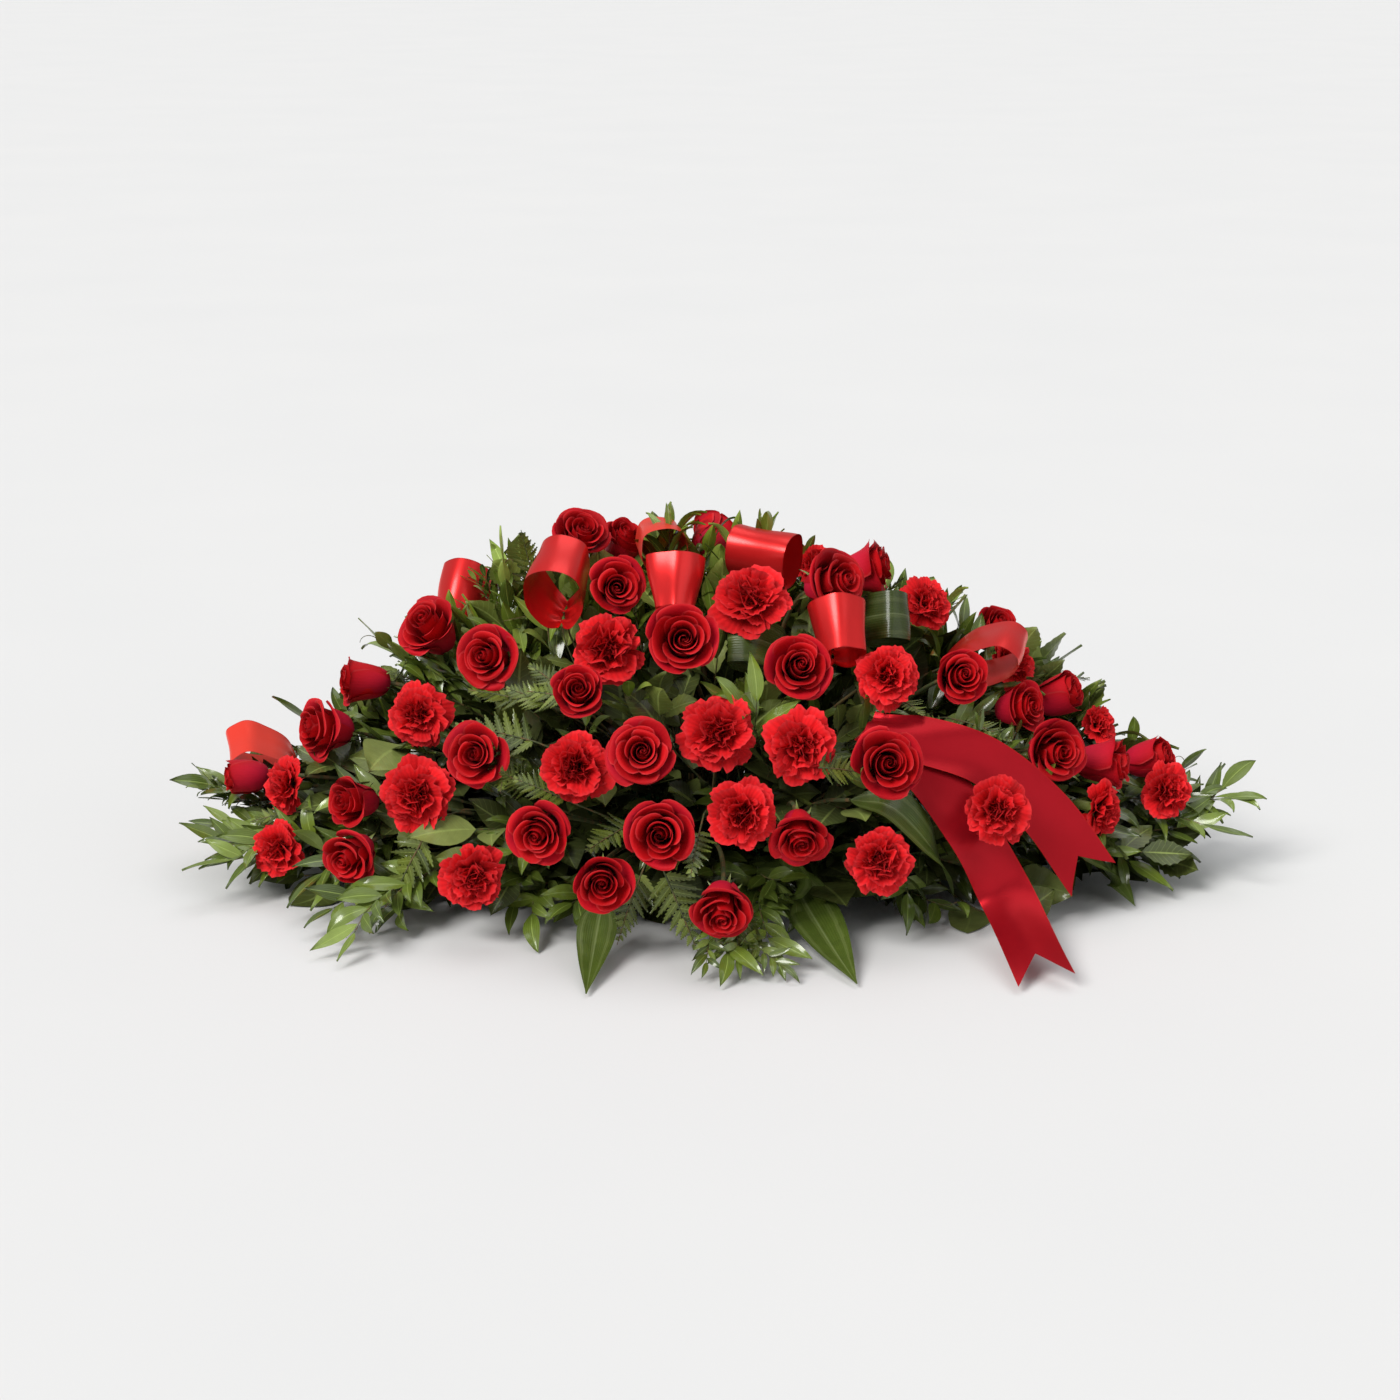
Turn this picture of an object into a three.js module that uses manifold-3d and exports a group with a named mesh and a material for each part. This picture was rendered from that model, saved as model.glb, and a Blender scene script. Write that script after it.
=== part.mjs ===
// Casket spray: red roses, red carnations and mixed greens in two bricks of floral foam
// on a saddle tray, with satin ribbon loops and two long ribbon tails.
// Millimetres, +Z up, +X along the spray, -Y towards its front.
// The origin is the centre of the tray's flat underside.

import * as THREE from "three";
import { mergeVertices } from "three/addons/utils/BufferGeometryUtils.js";
import Module from "manifold-3d";

const wasm = await Module();
wasm.setup();

// Driving dimensions

const TRAY = { length: 500, width: 196, floor: 3, wall: 3, wallHeight: 24 };
const FOAM = { length: 228, width: 108, height: 78, seam: 3, lift: 0.3, sideGap: 1.5 };
const PRONG = { radius: 3, tipRadius: 1.8, sides: 6, height: 22, fromCentre: 70, clearance: 0.6 };
const PEG = {
  radius: 3.6,
  sides: 4,
  depth: 26,
  holeDeeper: 1,
  stand: 7,
  clearance: 0.45,
  edge: 9,
  spacing: 11.5,
};

// The mound that the blooms are set on: a long low dome, drawn out to a point at each wing.
const MOUND = {
  halfLength: 551,
  crest: 352,
  wingEnd: 75,
  front: 360,
  back: 250,
  planLength: 640,
  crestFall: 1.8,
  planFall: 1.6,
  roundness: 1.7,
  leastHeight: 40,
  leastDepth: 30,
};

// The view that the blooms' places are read in: a camera that looks down a little from the front.
// A place in the view is given as [across, down] on a grid of 1400 by 1400 steps.
const VIEW = { elevation: 16, distance: 3000, mmPerPixel: 1.06, centre: 700, aim: [-21, 0, 179] };
// The stretch of a line of sight, in front of and beyond the aim, that the mound is looked for in.
const SIGHT = { reach: 700, step: 2 };

const ROSE = { stem: 2.4, colour: 0x8e0a12 };
const CARNATION = { stem: 1.9, colour: 0xb4141c };
const RIBBON = {
  width: 66,
  tailWidth: 56,
  tailSteps: 10,
  notch: 0.46,
  thickness: 0.9,
  pick: 1.8,
  pickedAt: 0.02,
  colour: 0xa81220,
};
const TI = { thickness: 1.6, rolledWidth: 50, stalk: 2.2, shares: [0.55, 0.9, 1, 0.92, 0.6], fold: 0.1 };
const FERN = { thickness: 1.8, stalk: 1.7, rib: 2, cut: 0.09, sweep: 0.55, firstPair: 0.8, arch: 0.08 };

// Stems are drawn with three sides, in two straight stretches, or four where leaves grow on them.
const STEM_SIDES = 3;
const STEM_STEPS = 2;
const LEAFY_STEPS = 4;

// Greens stay this far above the surface that the tray stands on.
const FLOOR_GAP = 1.6;
// A leaf's root is sunk this far into its stem, and a head's stem this share of its width into it.
const ROOT_SINK = 1.8;
const HEAD_SINK = 0.12;
// A stalk runs this far into a frond, a ti leaf or a loop.
const BLADE_SINK = 5;
// Faces smaller than this, left where solids join, are merged with their neighbours.
const MERGE_STEP = 0.25;
// Shared volume in cubic millimetres below which two solids are clear of each other.
const TOUCH = 1e-5;

const COLOURS = {
  tray: 0x1f3a26,
  foam: 0x3f7f4a,
  ruscus: 0x4a6a2c,
  fern: 0x3f5a26,
  salal: 0x4c5c36,
  ti: 0x2f4a20,
};

const vec = (x, y, z) => new THREE.Vector3(x, y, z);
const radians = THREE.MathUtils.degToRad;
const clamp = THREE.MathUtils.clamp;
const mix = (a, b, t) => a.clone().lerp(b, t);

// A seeded generator, so that every build draws the same numbers.
function seeded(seed) {
  let state = 7919 + seed * 104729;
  state %= 2147483647;
  return () => {
    state = (state * 48271) % 2147483647;
    return state / 2147483647;
  };
}

// View and mound

const viewRight = vec(1, 0, 0);
const viewForward = vec(0, Math.cos(radians(VIEW.elevation)), -Math.sin(radians(VIEW.elevation)));
const viewUp = vec(0, Math.sin(radians(VIEW.elevation)), Math.cos(radians(VIEW.elevation)));
const eye = vec(...VIEW.aim).addScaledVector(viewForward, -VIEW.distance);

function sightLine([across, down]) {
  return viewForward.clone().multiplyScalar(VIEW.distance)
    .addScaledVector(viewRight, (across - VIEW.centre) * VIEW.mmPerPixel)
    .addScaledVector(viewUp, (VIEW.centre - down) * VIEW.mmPerPixel)
    .normalize();
}

function moundHeight(x) {
  const fall = Math.pow(Math.abs(x) / MOUND.halfLength, MOUND.crestFall);
  return Math.max(MOUND.wingEnd + (MOUND.crest - MOUND.wingEnd) * (1 - fall), MOUND.leastHeight);
}

function moundDepth(x, y) {
  const fall = Math.pow(Math.abs(x) / MOUND.planLength, MOUND.planFall);
  return Math.max((y < 0 ? MOUND.front : MOUND.back) * (1 - fall), MOUND.leastDepth);
}

// 1 on the mound's surface, less inside it and more outside.
function fullness(point) {
  const depthShare = Math.abs(point.y) / moundDepth(point.x, point.y);
  const heightShare = Math.max(point.z, 0) / moundHeight(point.x);
  return Math.pow(depthShare, MOUND.roundness) + Math.pow(heightShare, MOUND.roundness);
}

function moundNormal(point) {
  const step = 2;
  const here = fullness(point);
  const slope = vec(
    fullness(point.clone().setX(point.x + step)) - here,
    fullness(point.clone().setY(point.y + step)) - here,
    fullness(point.clone().setZ(point.z + step)) - here,
  );
  return slope.normalize();
}

// The first point of the mound that the view meets, or the nearest to it, moved towards the eye.
function onMound(seen, nearer = 0) {
  const line = sightLine(seen);
  let best = null;
  let least = Infinity;
  for (let beyond = -SIGHT.reach; beyond < SIGHT.reach; beyond += SIGHT.step) {
    const point = eye.clone().addScaledVector(line, VIEW.distance + beyond);
    const share = fullness(point);
    if (share < least) {
      least = share;
      best = point;
    }
    if (share <= 1) break;
  }
  return best.addScaledVector(line, -nearer);
}

// The point of a level plane z, or of an upright plane y, that the view meets.
function onPlane(seen, plane) {
  const line = sightLine(seen);
  const reach = plane.z === undefined ? (plane.y - eye.y) / line.y : (plane.z - eye.z) / line.z;
  return eye.clone().addScaledVector(line, reach);
}

// A point of the mound's back at a height z.
function onBack([x, z]) {
  const share = Math.pow(z / moundHeight(x), MOUND.roundness);
  return vec(x, moundDepth(x, 1) * Math.pow(1 - share, 1 / MOUND.roundness), z);
}

function placeOf(spec) {
  if (spec.back) return onBack(spec.back);
  if (spec.plane) return onPlane(spec.seen, spec.plane);
  return onMound(spec.seen, spec.nearer);
}

// A direction given as the view shows it: degrees to the right, and degrees upwards.
function facing(turn, tip) {
  const flat = Math.cos(radians(tip));
  return viewRight.clone().multiplyScalar(flat * Math.sin(radians(turn)))
    .addScaledVector(viewUp, Math.sin(radians(tip)))
    .addScaledVector(viewForward, -flat * Math.cos(radians(turn)));
}

// Solids

function solidOf(geometry) {
  const bare = geometry.clone();
  bare.deleteAttribute("normal");
  bare.deleteAttribute("uv");
  const merged = mergeVertices(bare, 1e-4);
  const index = merged.index.array;
  const corners = [];
  for (let k = 0; k < index.length; k += 3) {
    const [a, b, c] = [index[k], index[k + 1], index[k + 2]];
    if (a !== b && b !== c && c !== a) corners.push(a, b, c);
  }
  const meshOf = (list) => new wasm.Mesh({
    numProp: 3,
    vertProperties: Float32Array.from(merged.attributes.position.array),
    triVerts: Uint32Array.from(list),
  });
  const solid = new wasm.Manifold(meshOf(corners));
  if (solid.volume() > 0) return solid;
  return new wasm.Manifold(meshOf(corners.reverse()));
}

// Moves a geometry that stands along +Y, from 0 to 1, onto a curve. Its x runs sideways.
// An edge point may be swept ahead of the rib, and the blade folded up along its rib.
function bendOnto(geometry, curve, face, { sweep = 0, fold = 0 } = {}) {
  const position = geometry.attributes.position;
  for (let k = 0; k < position.count; k += 1) {
    const side = position.getX(k);
    const along = clamp(position.getY(k) + sweep * Math.abs(side), 0, 1);
    const spot = curve.getPoint(along);
    const ahead = curve.getTangent(along);
    const sideways = ahead.clone().cross(face).normalize();
    const outward = sideways.clone().cross(ahead);
    spot.addScaledVector(sideways, side);
    spot.addScaledVector(outward, position.getZ(k) + fold * Math.abs(side));
    position.setXYZ(k, spot.x, spot.y, spot.z);
  }
  return solidOf(geometry);
}

// A leaf blade: a slim lens with a rib, split into triangles alike on its two faces.
function blade(curve, halfWidths, thickness, face, options = {}) {
  const gap = 1 / (halfWidths.length + 1);
  const first = options.belly || gap;
  const profile = [new THREE.Vector2(0, 0)];
  halfWidths.forEach((half, k) => profile.push(new THREE.Vector2(half, first + k * gap)));
  profile.push(new THREE.Vector2(0, 1));
  const geometry = new THREE.LatheGeometry(profile, 4);
  const count = profile.length;
  const corners = [];
  for (let segment = 0; segment < 4; segment += 1) {
    for (let k = 0; k < count - 1; k += 1) {
      const a = k + segment * count;
      const [b, c, d] = [a + count, a + count + 1, a + 1];
      corners.push(...(segment % 2 ? [a, b, c, a, c, d] : [a, b, d, c, d, b]));
    }
  }
  geometry.setIndex(corners);
  const position = geometry.attributes.position;
  for (let k = 0; k < position.count; k += 1) {
    const level = position.getZ(k);
    const onRib = Math.abs(level) > 0.01;
    position.setZ(k, onRib ? Math.sign(level) * thickness / 2 : 0);
    if (onRib) position.setX(k, 0);
  }
  return bendOnto(geometry, curve, face, options);
}

// A ribbon: a flat band along a curve, split into triangles alike on its two faces.
function band(curve, width, thickness, steps, face) {
  const geometry = new THREE.BoxGeometry(width, 1, thickness, 1, steps, 1);
  geometry.translate(0, 0.5, 0);
  const index = geometry.index.array;
  const far = geometry.groups[5];
  for (let k = far.start; k < far.start + far.count; k += 6) {
    const [a, b, d, , c] = index.slice(k, k + 5);
    index.set([a, b, c, a, c, d], k);
  }
  return bendOnto(geometry, curve, face);
}

function tube(curve, radius, steps) {
  const section = new THREE.Shape();
  for (let k = 0; k < STEM_SIDES; k += 1) {
    const angle = (2 * Math.PI * k) / STEM_SIDES;
    const spot = [radius * Math.cos(angle), radius * Math.sin(angle)];
    if (k === 0) section.moveTo(...spot);
    else section.lineTo(...spot);
  }
  section.closePath();
  return solidOf(new THREE.ExtrudeGeometry(section, { steps, extrudePath: curve, bevelEnabled: false }));
}

// Turns a geometry that stands along +Y to an axis, and puts it in its place.
function stood(geometry, axis, origin, roll = 0) {
  const turn = new THREE.Quaternion().setFromUnitVectors(vec(0, 1, 0), axis);
  turn.multiply(new THREE.Quaternion().setFromAxisAngle(vec(0, 1, 0), roll));
  geometry.applyMatrix4(new THREE.Matrix4().compose(origin, turn, vec(1, 1, 1)));
  return solidOf(geometry);
}

// What is placed, with its owner, so that a stem or a leaf can be bent clear of it.
const placed = [];

function boxesMeet(a, b) {
  return [0, 1, 2].every((k) => a.min[k] <= b.max[k] && b.min[k] <= a.max[k]);
}

function clashes(solid, owner) {
  const box = solid.boundingBox();
  if (box.min[2] < FLOOR_GAP) return true;
  return placed.some((other) => {
    if (other.owner === owner || !boxesMeet(box, other.box)) return false;
    const shared = solid.intersect(other.solid);
    const volume = shared.volume();
    shared.delete();
    return volume > TOUCH;
  });
}

const nodes = new Map();

function keep(owner, solid) {
  placed.push({ owner, solid, box: solid.boundingBox() });
  if (!nodes.has(owner)) nodes.set(owner, []);
  nodes.get(owner).push(solid);
}

// The first of several tries that is clear of everything of another owner, or null.
function firstClear(owner, tries, make) {
  for (let attempt = 0; attempt < tries; attempt += 1) {
    const solid = make(attempt);
    if (!clashes(solid, owner)) return solid;
  }
  return null;
}

// Tray and foam

const foamBase = TRAY.floor + FOAM.lift;
const foamTop = foamBase + FOAM.height;
const foamHalfLength = FOAM.seam / 2 + FOAM.length;
const foamHalfWidth = FOAM.width / 2;

function block(length, width, height, x, y, base) {
  const geometry = new THREE.BoxGeometry(length, width, height);
  geometry.translate(x, y, base + height / 2);
  return solidOf(geometry);
}

const PRONG_SPOTS = [-1, 1].flatMap((side) => {
  const middle = side * (FOAM.seam / 2 + FOAM.length / 2);
  return [middle - PRONG.fromCentre, middle + PRONG.fromCentre];
});

function prongs(grow) {
  return PRONG_SPOTS.map((x) => {
    const height = PRONG.height + grow + TRAY.floor / 2;
    const [tip, foot] = [PRONG.tipRadius + grow, PRONG.radius + grow];
    const geometry = new THREE.CylinderGeometry(tip, foot, height, PRONG.sides);
    geometry.rotateX(Math.PI / 2);
    geometry.translate(x, 0, TRAY.floor / 2 + height / 2);
    return solidOf(geometry);
  });
}

function saddleTray() {
  const innerLength = 2 * (foamHalfLength + FOAM.sideGap);
  const innerWidth = FOAM.width + 2 * FOAM.sideGap;
  const plate = block(TRAY.length, TRAY.width, TRAY.floor, 0, 0, 0);
  const rim = block(innerLength + 2 * TRAY.wall, innerWidth + 2 * TRAY.wall, TRAY.wallHeight, 0, 0, 0);
  const pocket = block(innerLength, innerWidth, TRAY.wallHeight, 0, 0, TRAY.floor);
  return prongs(0).reduce((tray, prong) => tray.add(prong), plate.add(rim).subtract(pocket));
}

function foamBrick(side) {
  return block(FOAM.length, FOAM.width, FOAM.height, side * (FOAM.seam + FOAM.length) / 2, 0, foamBase);
}

keep("saddle_tray", saddleTray());
const bricks = { floral_foam_left: foamBrick(-1), floral_foam_right: foamBrick(1) };
Object.entries(bricks).forEach(([name, brick]) => {
  placed.push({ owner: name, solid: brick, box: brick.boundingBox() });
});

// Every stem's foot is a peg that stands square in a plain hole of the foam.

const entries = [];

// Stems fan out from a line through the foam's heart, so the mound's parts keep their own ways.
const HEART = { share: 0.42, reach: 190, height: 42 };

function boxEntry(target) {
  const heart = vec(clamp(target.x * HEART.share, -HEART.reach, HEART.reach), 0, HEART.height);
  const way = target.clone().sub(heart);
  const spare = foamHalfLength - Math.abs(heart.x);
  const faces = [
    { normal: vec(0, 0, 1), reach: (foamTop - heart.z) / way.z },
    { normal: vec(0, Math.sign(way.y) || 1, 0), reach: foamHalfWidth / Math.abs(way.y) },
    { normal: vec(Math.sign(way.x) || 1, 0, 0), reach: spare / Math.abs(way.x) },
  ];
  const first = faces.filter((face) => face.reach > 0).sort((a, b) => a.reach - b.reach)[0];
  return { point: heart.addScaledVector(way, first.reach), normal: first.normal };
}

function keepOnFace(point, normal) {
  const wall = TRAY.wallHeight + PEG.edge;
  const spot = point.clone();
  if (!normal.x) {
    const limit = foamHalfLength - PEG.edge;
    const seam = FOAM.seam / 2 + PEG.edge;
    spot.x = clamp(spot.x, -limit, limit);
    if (Math.abs(spot.x) < seam) spot.x = spot.x < 0 ? -seam : seam;
  }
  if (!normal.y) spot.y = clamp(spot.y, PEG.edge - foamHalfWidth, foamHalfWidth - PEG.edge);
  if (!normal.z) spot.z = clamp(spot.z, wall, foamTop - PEG.edge);
  return spot;
}

function pegGap(a, b) {
  let least = Infinity;
  const samples = 4;
  for (let i = 0; i <= samples; i += 1) {
    for (let j = 0; j <= samples; j += 1) {
      const one = a.point.clone().addScaledVector(a.normal, (-PEG.depth * i) / samples);
      const other = b.point.clone().addScaledVector(b.normal, (-PEG.depth * j) / samples);
      least = Math.min(least, one.distanceTo(other));
    }
  }
  return least;
}

// A sunflower spiral over a face of the foam.
const SPIRAL = { spots: 160, turn: 2.4, pitch: 3.2 };

// Starts at the spot that faces the target, and winds outwards over the face to a free one.
function entryFor(target) {
  const start = boxEntry(target);
  const across = Math.abs(start.normal.x) > 0.5 ? vec(0, 1, 0) : vec(1, 0, 0);
  const over = start.normal.clone().cross(across);
  for (let turn = 0; turn < SPIRAL.spots; turn += 1) {
    const angle = turn * SPIRAL.turn;
    const radius = SPIRAL.pitch * Math.sqrt(turn);
    const moved = start.point.clone()
      .addScaledVector(across, radius * Math.cos(angle))
      .addScaledVector(over, radius * Math.sin(angle));
    const entry = { point: keepOnFace(moved, start.normal), normal: start.normal };
    const prongClear = PRONG_SPOTS.every((x) => {
      const prong = vec(x, 0, foamBase + PRONG.height / 2);
      return prong.distanceTo(entry.point.clone().addScaledVector(entry.normal, -PEG.depth)) > PRONG.height;
    });
    if (prongClear && entries.every((other) => pegGap(entry, other) > PEG.spacing)) {
      entries.push(entry);
      return entry;
    }
  }
  throw new Error("no free spot in the foam");
}

function peg(entry, grow) {
  const length = PEG.depth + (grow ? PEG.holeDeeper : 0) + PEG.stand;
  const radius = PEG.radius + grow;
  const geometry = new THREE.CylinderGeometry(radius, radius, length, PEG.sides);
  geometry.translate(0, PEG.stand - length / 2, 0);
  return stood(geometry, entry.normal, entry.point);
}

function rootPeg(owner, target) {
  const entry = entryFor(target);
  keep(owner, peg(entry, 0));
  return entry;
}

// The shares of its span that a stem runs straight at its ends, and how its bow grows by the try.
const BOW = { least: 0.2, more: 0.15, sway: 2.2, tries: 80 };

// A stem from a peg to a point, which it reaches along an axis. Its bow changes until it is clear.
function stemCurve(entry, end, axis, attempt) {
  const draw = seeded(attempt * 31 + Math.round(Math.abs(end.x)));
  const start = entry.point.clone().addScaledVector(entry.normal, PEG.stand / 2);
  const span = start.distanceTo(end);
  const nudge = () => vec(draw() - 0.5, draw() - 0.5, draw() - 0.5).multiplyScalar(attempt * BOW.sway);
  const straight = () => span * (BOW.least + BOW.more * draw());
  const leave = start.clone().addScaledVector(entry.normal, straight()).add(nudge());
  const arrive = end.clone().addScaledVector(axis, -straight()).add(nudge());
  return new THREE.CubicBezierCurve3(start, leave, arrive, end);
}

function clearStem(owner, entry, end, axis, radius, steps) {
  let curve = null;
  const solid = firstClear(owner, BOW.tries, (attempt) => {
    curve = stemCurve(entry, end, axis, attempt);
    return tube(curve, radius, steps);
  });
  if (!solid) throw new Error(`no clear way for a stem of ${owner}`);
  keep(owner, solid);
  return curve;
}

// Blooms

// Rings of a head as [radius, height], in shares of its width. `lobe` says which way the petal
// tips of a ring are drawn out: +1 and -1 set the petals of neighbouring layers in turn.
const ROSE_RINGS = [
  { radius: 0.3, height: 0.14, lobe: 0 },
  { radius: 0.5, height: 0.52, lobe: 1 },
  { radius: 0.36, height: 0.5, lobe: 0 },
  { radius: 0.29, height: 0.7, lobe: -1 },
];
const CARNATION_RINGS = [
  { radius: 0.1, height: 0.2, lobe: 0 },
  { radius: 0.49, height: 0.5, lobe: 1 },
  { radius: 0.36, height: 0.56, lobe: 0 },
  { radius: 0.34, height: 0.74, lobe: -1 },
];
const ROSE_HEAD = { rings: ROSE_RINGS, petals: 4, reach: 0.07, lift: 0.04, top: 0.66, middle: 0.45 };
const CARNATION_HEAD = {
  rings: CARNATION_RINGS,
  petals: 5,
  reach: 0.1,
  lift: 0.05,
  top: 0.82,
  middle: 0.48,
};

// Each head of a group is rolled on by this much, in radians, so that no two look alike.
const HEAD_ROLL = 1.3;
// The heads at the back look out of the mound and this much upwards.
const BACK_TIP = 0.25;

function headSolid(style, width, axis, base, roll) {
  const profile = [new THREE.Vector2(0, 0)];
  style.rings.forEach((ring) => profile.push(new THREE.Vector2(ring.radius, ring.height)));
  profile.push(new THREE.Vector2(0, style.top));
  const segments = style.petals * 2;
  const geometry = new THREE.LatheGeometry(profile, segments);
  const position = geometry.attributes.position;
  for (let k = 0; k < position.count; k += 1) {
    const ring = style.rings[(k % profile.length) - 1];
    const wave = Math.floor(k / profile.length) % 2 ? -1 : 1;
    const lobe = ring ? ring.lobe * wave : 0;
    const stretch = 1 + lobe * style.reach;
    const height = position.getY(k) + lobe * style.lift;
    position.setXYZ(k, position.getX(k) * stretch, height, position.getZ(k) * stretch);
  }
  geometry.scale(width, width, width);
  return stood(geometry, axis, base, roll);
}

function bloomAxis(spec, middle) {
  if (spec.back) return moundNormal(middle).add(vec(0, 0, BACK_TIP)).normalize();
  return facing(spec.turn, spec.tip);
}

function bloomGroup(owner, style, stemRadius, specs) {
  const heads = specs.map((spec, k) => {
    const middle = placeOf(spec);
    const axis = bloomAxis(spec, middle);
    const base = middle.clone().addScaledVector(axis, -style.middle * spec.width);
    keep(owner, headSolid(style, spec.width, axis, base, k * HEAD_ROLL));
    return { axis, base, width: spec.width };
  });
  return { owner, heads, stemRadius };
}

const ROSES = {
  roses_crest_left: [
    { seen: [580, 537], width: 60, turn: 20, tip: 35, nearer: -10 },
    { seen: [622, 547], width: 52, turn: 30, tip: 45, nearer: -45 },
    { seen: [617, 587], width: 60, turn: 8, tip: 5, nearer: 10 },
  ],
  roses_crest: [
    { seen: [711, 538], width: 56, turn: 150, tip: 25, nearer: -40 },
    { back: [40, 250], width: 62 },
  ],
  roses_centre: [
    { seen: [683, 640], width: 76, turn: 0, tip: 10, nearer: 8 },
    { seen: [797, 668], width: 66, turn: 5, tip: 6, nearer: 4 },
  ],
  roses_left_centre: [
    { seen: [578, 692], width: 56, turn: 0, tip: 14, nearer: 16 },
    { seen: [641, 753], width: 68, turn: -4, tip: 8, nearer: 4 },
  ],
  roses_front_left: [
    { seen: [541, 831], width: 64, turn: -10, tip: -14, nearer: 6 },
    { seen: [603, 881], width: 63, turn: 4, tip: -12, nearer: 6 },
  ],
  roses_front: [
    { seen: [662, 834], width: 71, turn: -2, tip: -3, nearer: 4 },
    { seen: [722, 906], width: 62, turn: -3, tip: -34, nearer: 0 },
  ],
  roses_front_right: [
    { seen: [886, 764], width: 74, turn: 8, tip: 0, nearer: 30 },
    { seen: [800, 834], width: 60, turn: 6, tip: -38, nearer: -12 },
  ],
  roses_crest_right: [
    { seen: [832, 583], width: 68, turn: 42, tip: 10, nearer: 16 },
    { seen: [866, 570], width: 58, turn: 80, tip: 10, nearer: -34 },
  ],
  roses_left_shoulder: [
    { seen: [432, 630], width: 66, turn: -30, tip: 32, nearer: 0 },
    { seen: [491, 657], width: 67, turn: -18, tip: 4, nearer: 4 },
  ],
  roses_left_wing: [
    { seen: [366, 681], width: 50, turn: -74, tip: 2, nearer: -8 },
    { seen: [326, 729], width: 62, turn: -52, tip: 2, nearer: 0 },
    { seen: [250, 776], width: 42, turn: -72, tip: -2, nearer: -6 },
  ],
  roses_left_front: [
    { seen: [478, 755], width: 65, turn: -16, tip: 2, nearer: 0 },
    { seen: [356, 802], width: 54, turn: -42, tip: -2, nearer: -2 },
    { seen: [354, 854], width: 58, turn: -24, tip: -20, nearer: 4 },
  ],
  roses_right_shoulder: [
    { seen: [959, 677], width: 58, turn: 12, tip: 0, nearer: 12 },
    { seen: [994, 632], width: 52, turn: 30, tip: 30, nearer: -90 },
  ],
  roses_right_wing: [
    { seen: [1018, 707], width: 54, turn: 44, tip: 8, nearer: 0 },
    { seen: [1054, 697], width: 46, turn: 60, tip: 20, nearer: -46 },
    { seen: [1052, 752], width: 66, turn: 24, tip: 0, nearer: 10 },
  ],
  roses_right_tip: [
    { seen: [1102, 762], width: 54, turn: 74, tip: 0, nearer: -8 },
    { seen: [1145, 759], width: 46, turn: 58, tip: 14, nearer: -30 },
  ],
  roses_back_left: [
    { back: [-330, 120], width: 62 },
    { back: [-150, 170], width: 64 },
  ],
  roses_back_right: [
    { back: [190, 150], width: 66 },
    { back: [370, 90], width: 60 },
  ],
};

const CARNATIONS = {
  carnations_centre_left: [
    { seen: [606, 648], width: 75, turn: 0, tip: 6, nearer: -12 },
    { seen: [574, 768], width: 74, turn: -8, tip: -2, nearer: 0 },
  ],
  carnations_crest: [
    { seen: [752, 597], width: 78, turn: -2, tip: 22, nearer: 10 },
    { seen: [815, 560], width: 50, turn: 10, tip: 40, nearer: -60 },
  ],
  carnations_centre: [
    { seen: [719, 733], width: 77, turn: 0, tip: 4, nearer: 0 },
    { seen: [743, 815], width: 71, turn: 0, tip: -4, nearer: 10 },
  ],
  carnations_right_centre: [
    { seen: [801, 746], width: 75, turn: 2, tip: 2, nearer: 0 },
    { seen: [888, 675], width: 66, turn: 6, tip: 2, nearer: 10 },
  ],
  carnations_left: [
    { seen: [416, 714], width: 68, turn: -14, tip: 6, nearer: 0 },
    { seen: [415, 797], width: 77, turn: -8, tip: -2, nearer: 0 },
    { seen: [472, 879], width: 68, turn: 0, tip: -18, nearer: 6 },
  ],
  carnations_left_wing: [
    { seen: [282, 786], width: 60, turn: -50, tip: 0, nearer: 6 },
    { seen: [276, 851], width: 60, turn: -30, tip: -12, nearer: 0 },
  ],
  carnations_right_shoulder: [
    { seen: [929, 601], width: 60, turn: 36, tip: 18, nearer: -6 },
    { seen: [1016, 662], width: 62, turn: 46, tip: 10, nearer: -60 },
  ],
  carnations_front_right: [
    { seen: [998, 811], width: 71, turn: 2, tip: -8, nearer: 34 },
    { seen: [880, 863], width: 68, turn: 2, tip: -12, nearer: 4 },
  ],
  carnations_right_wing: [
    { seen: [1106, 812], width: 62, turn: 56, tip: -14, nearer: 4 },
    { seen: [1170, 792], width: 60, turn: 18, tip: 0, nearer: 4 },
    { seen: [1101, 722], width: 46, turn: 40, tip: 24, nearer: -40 },
  ],
  carnations_back_left: [
    { back: [-245, 90], width: 70 },
    { back: [-60, 85], width: 74 },
  ],
  carnations_back_right: [
    { back: [100, 80], width: 72 },
    { back: [275, 75], width: 70 },
  ],
};

// Ribbon

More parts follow.
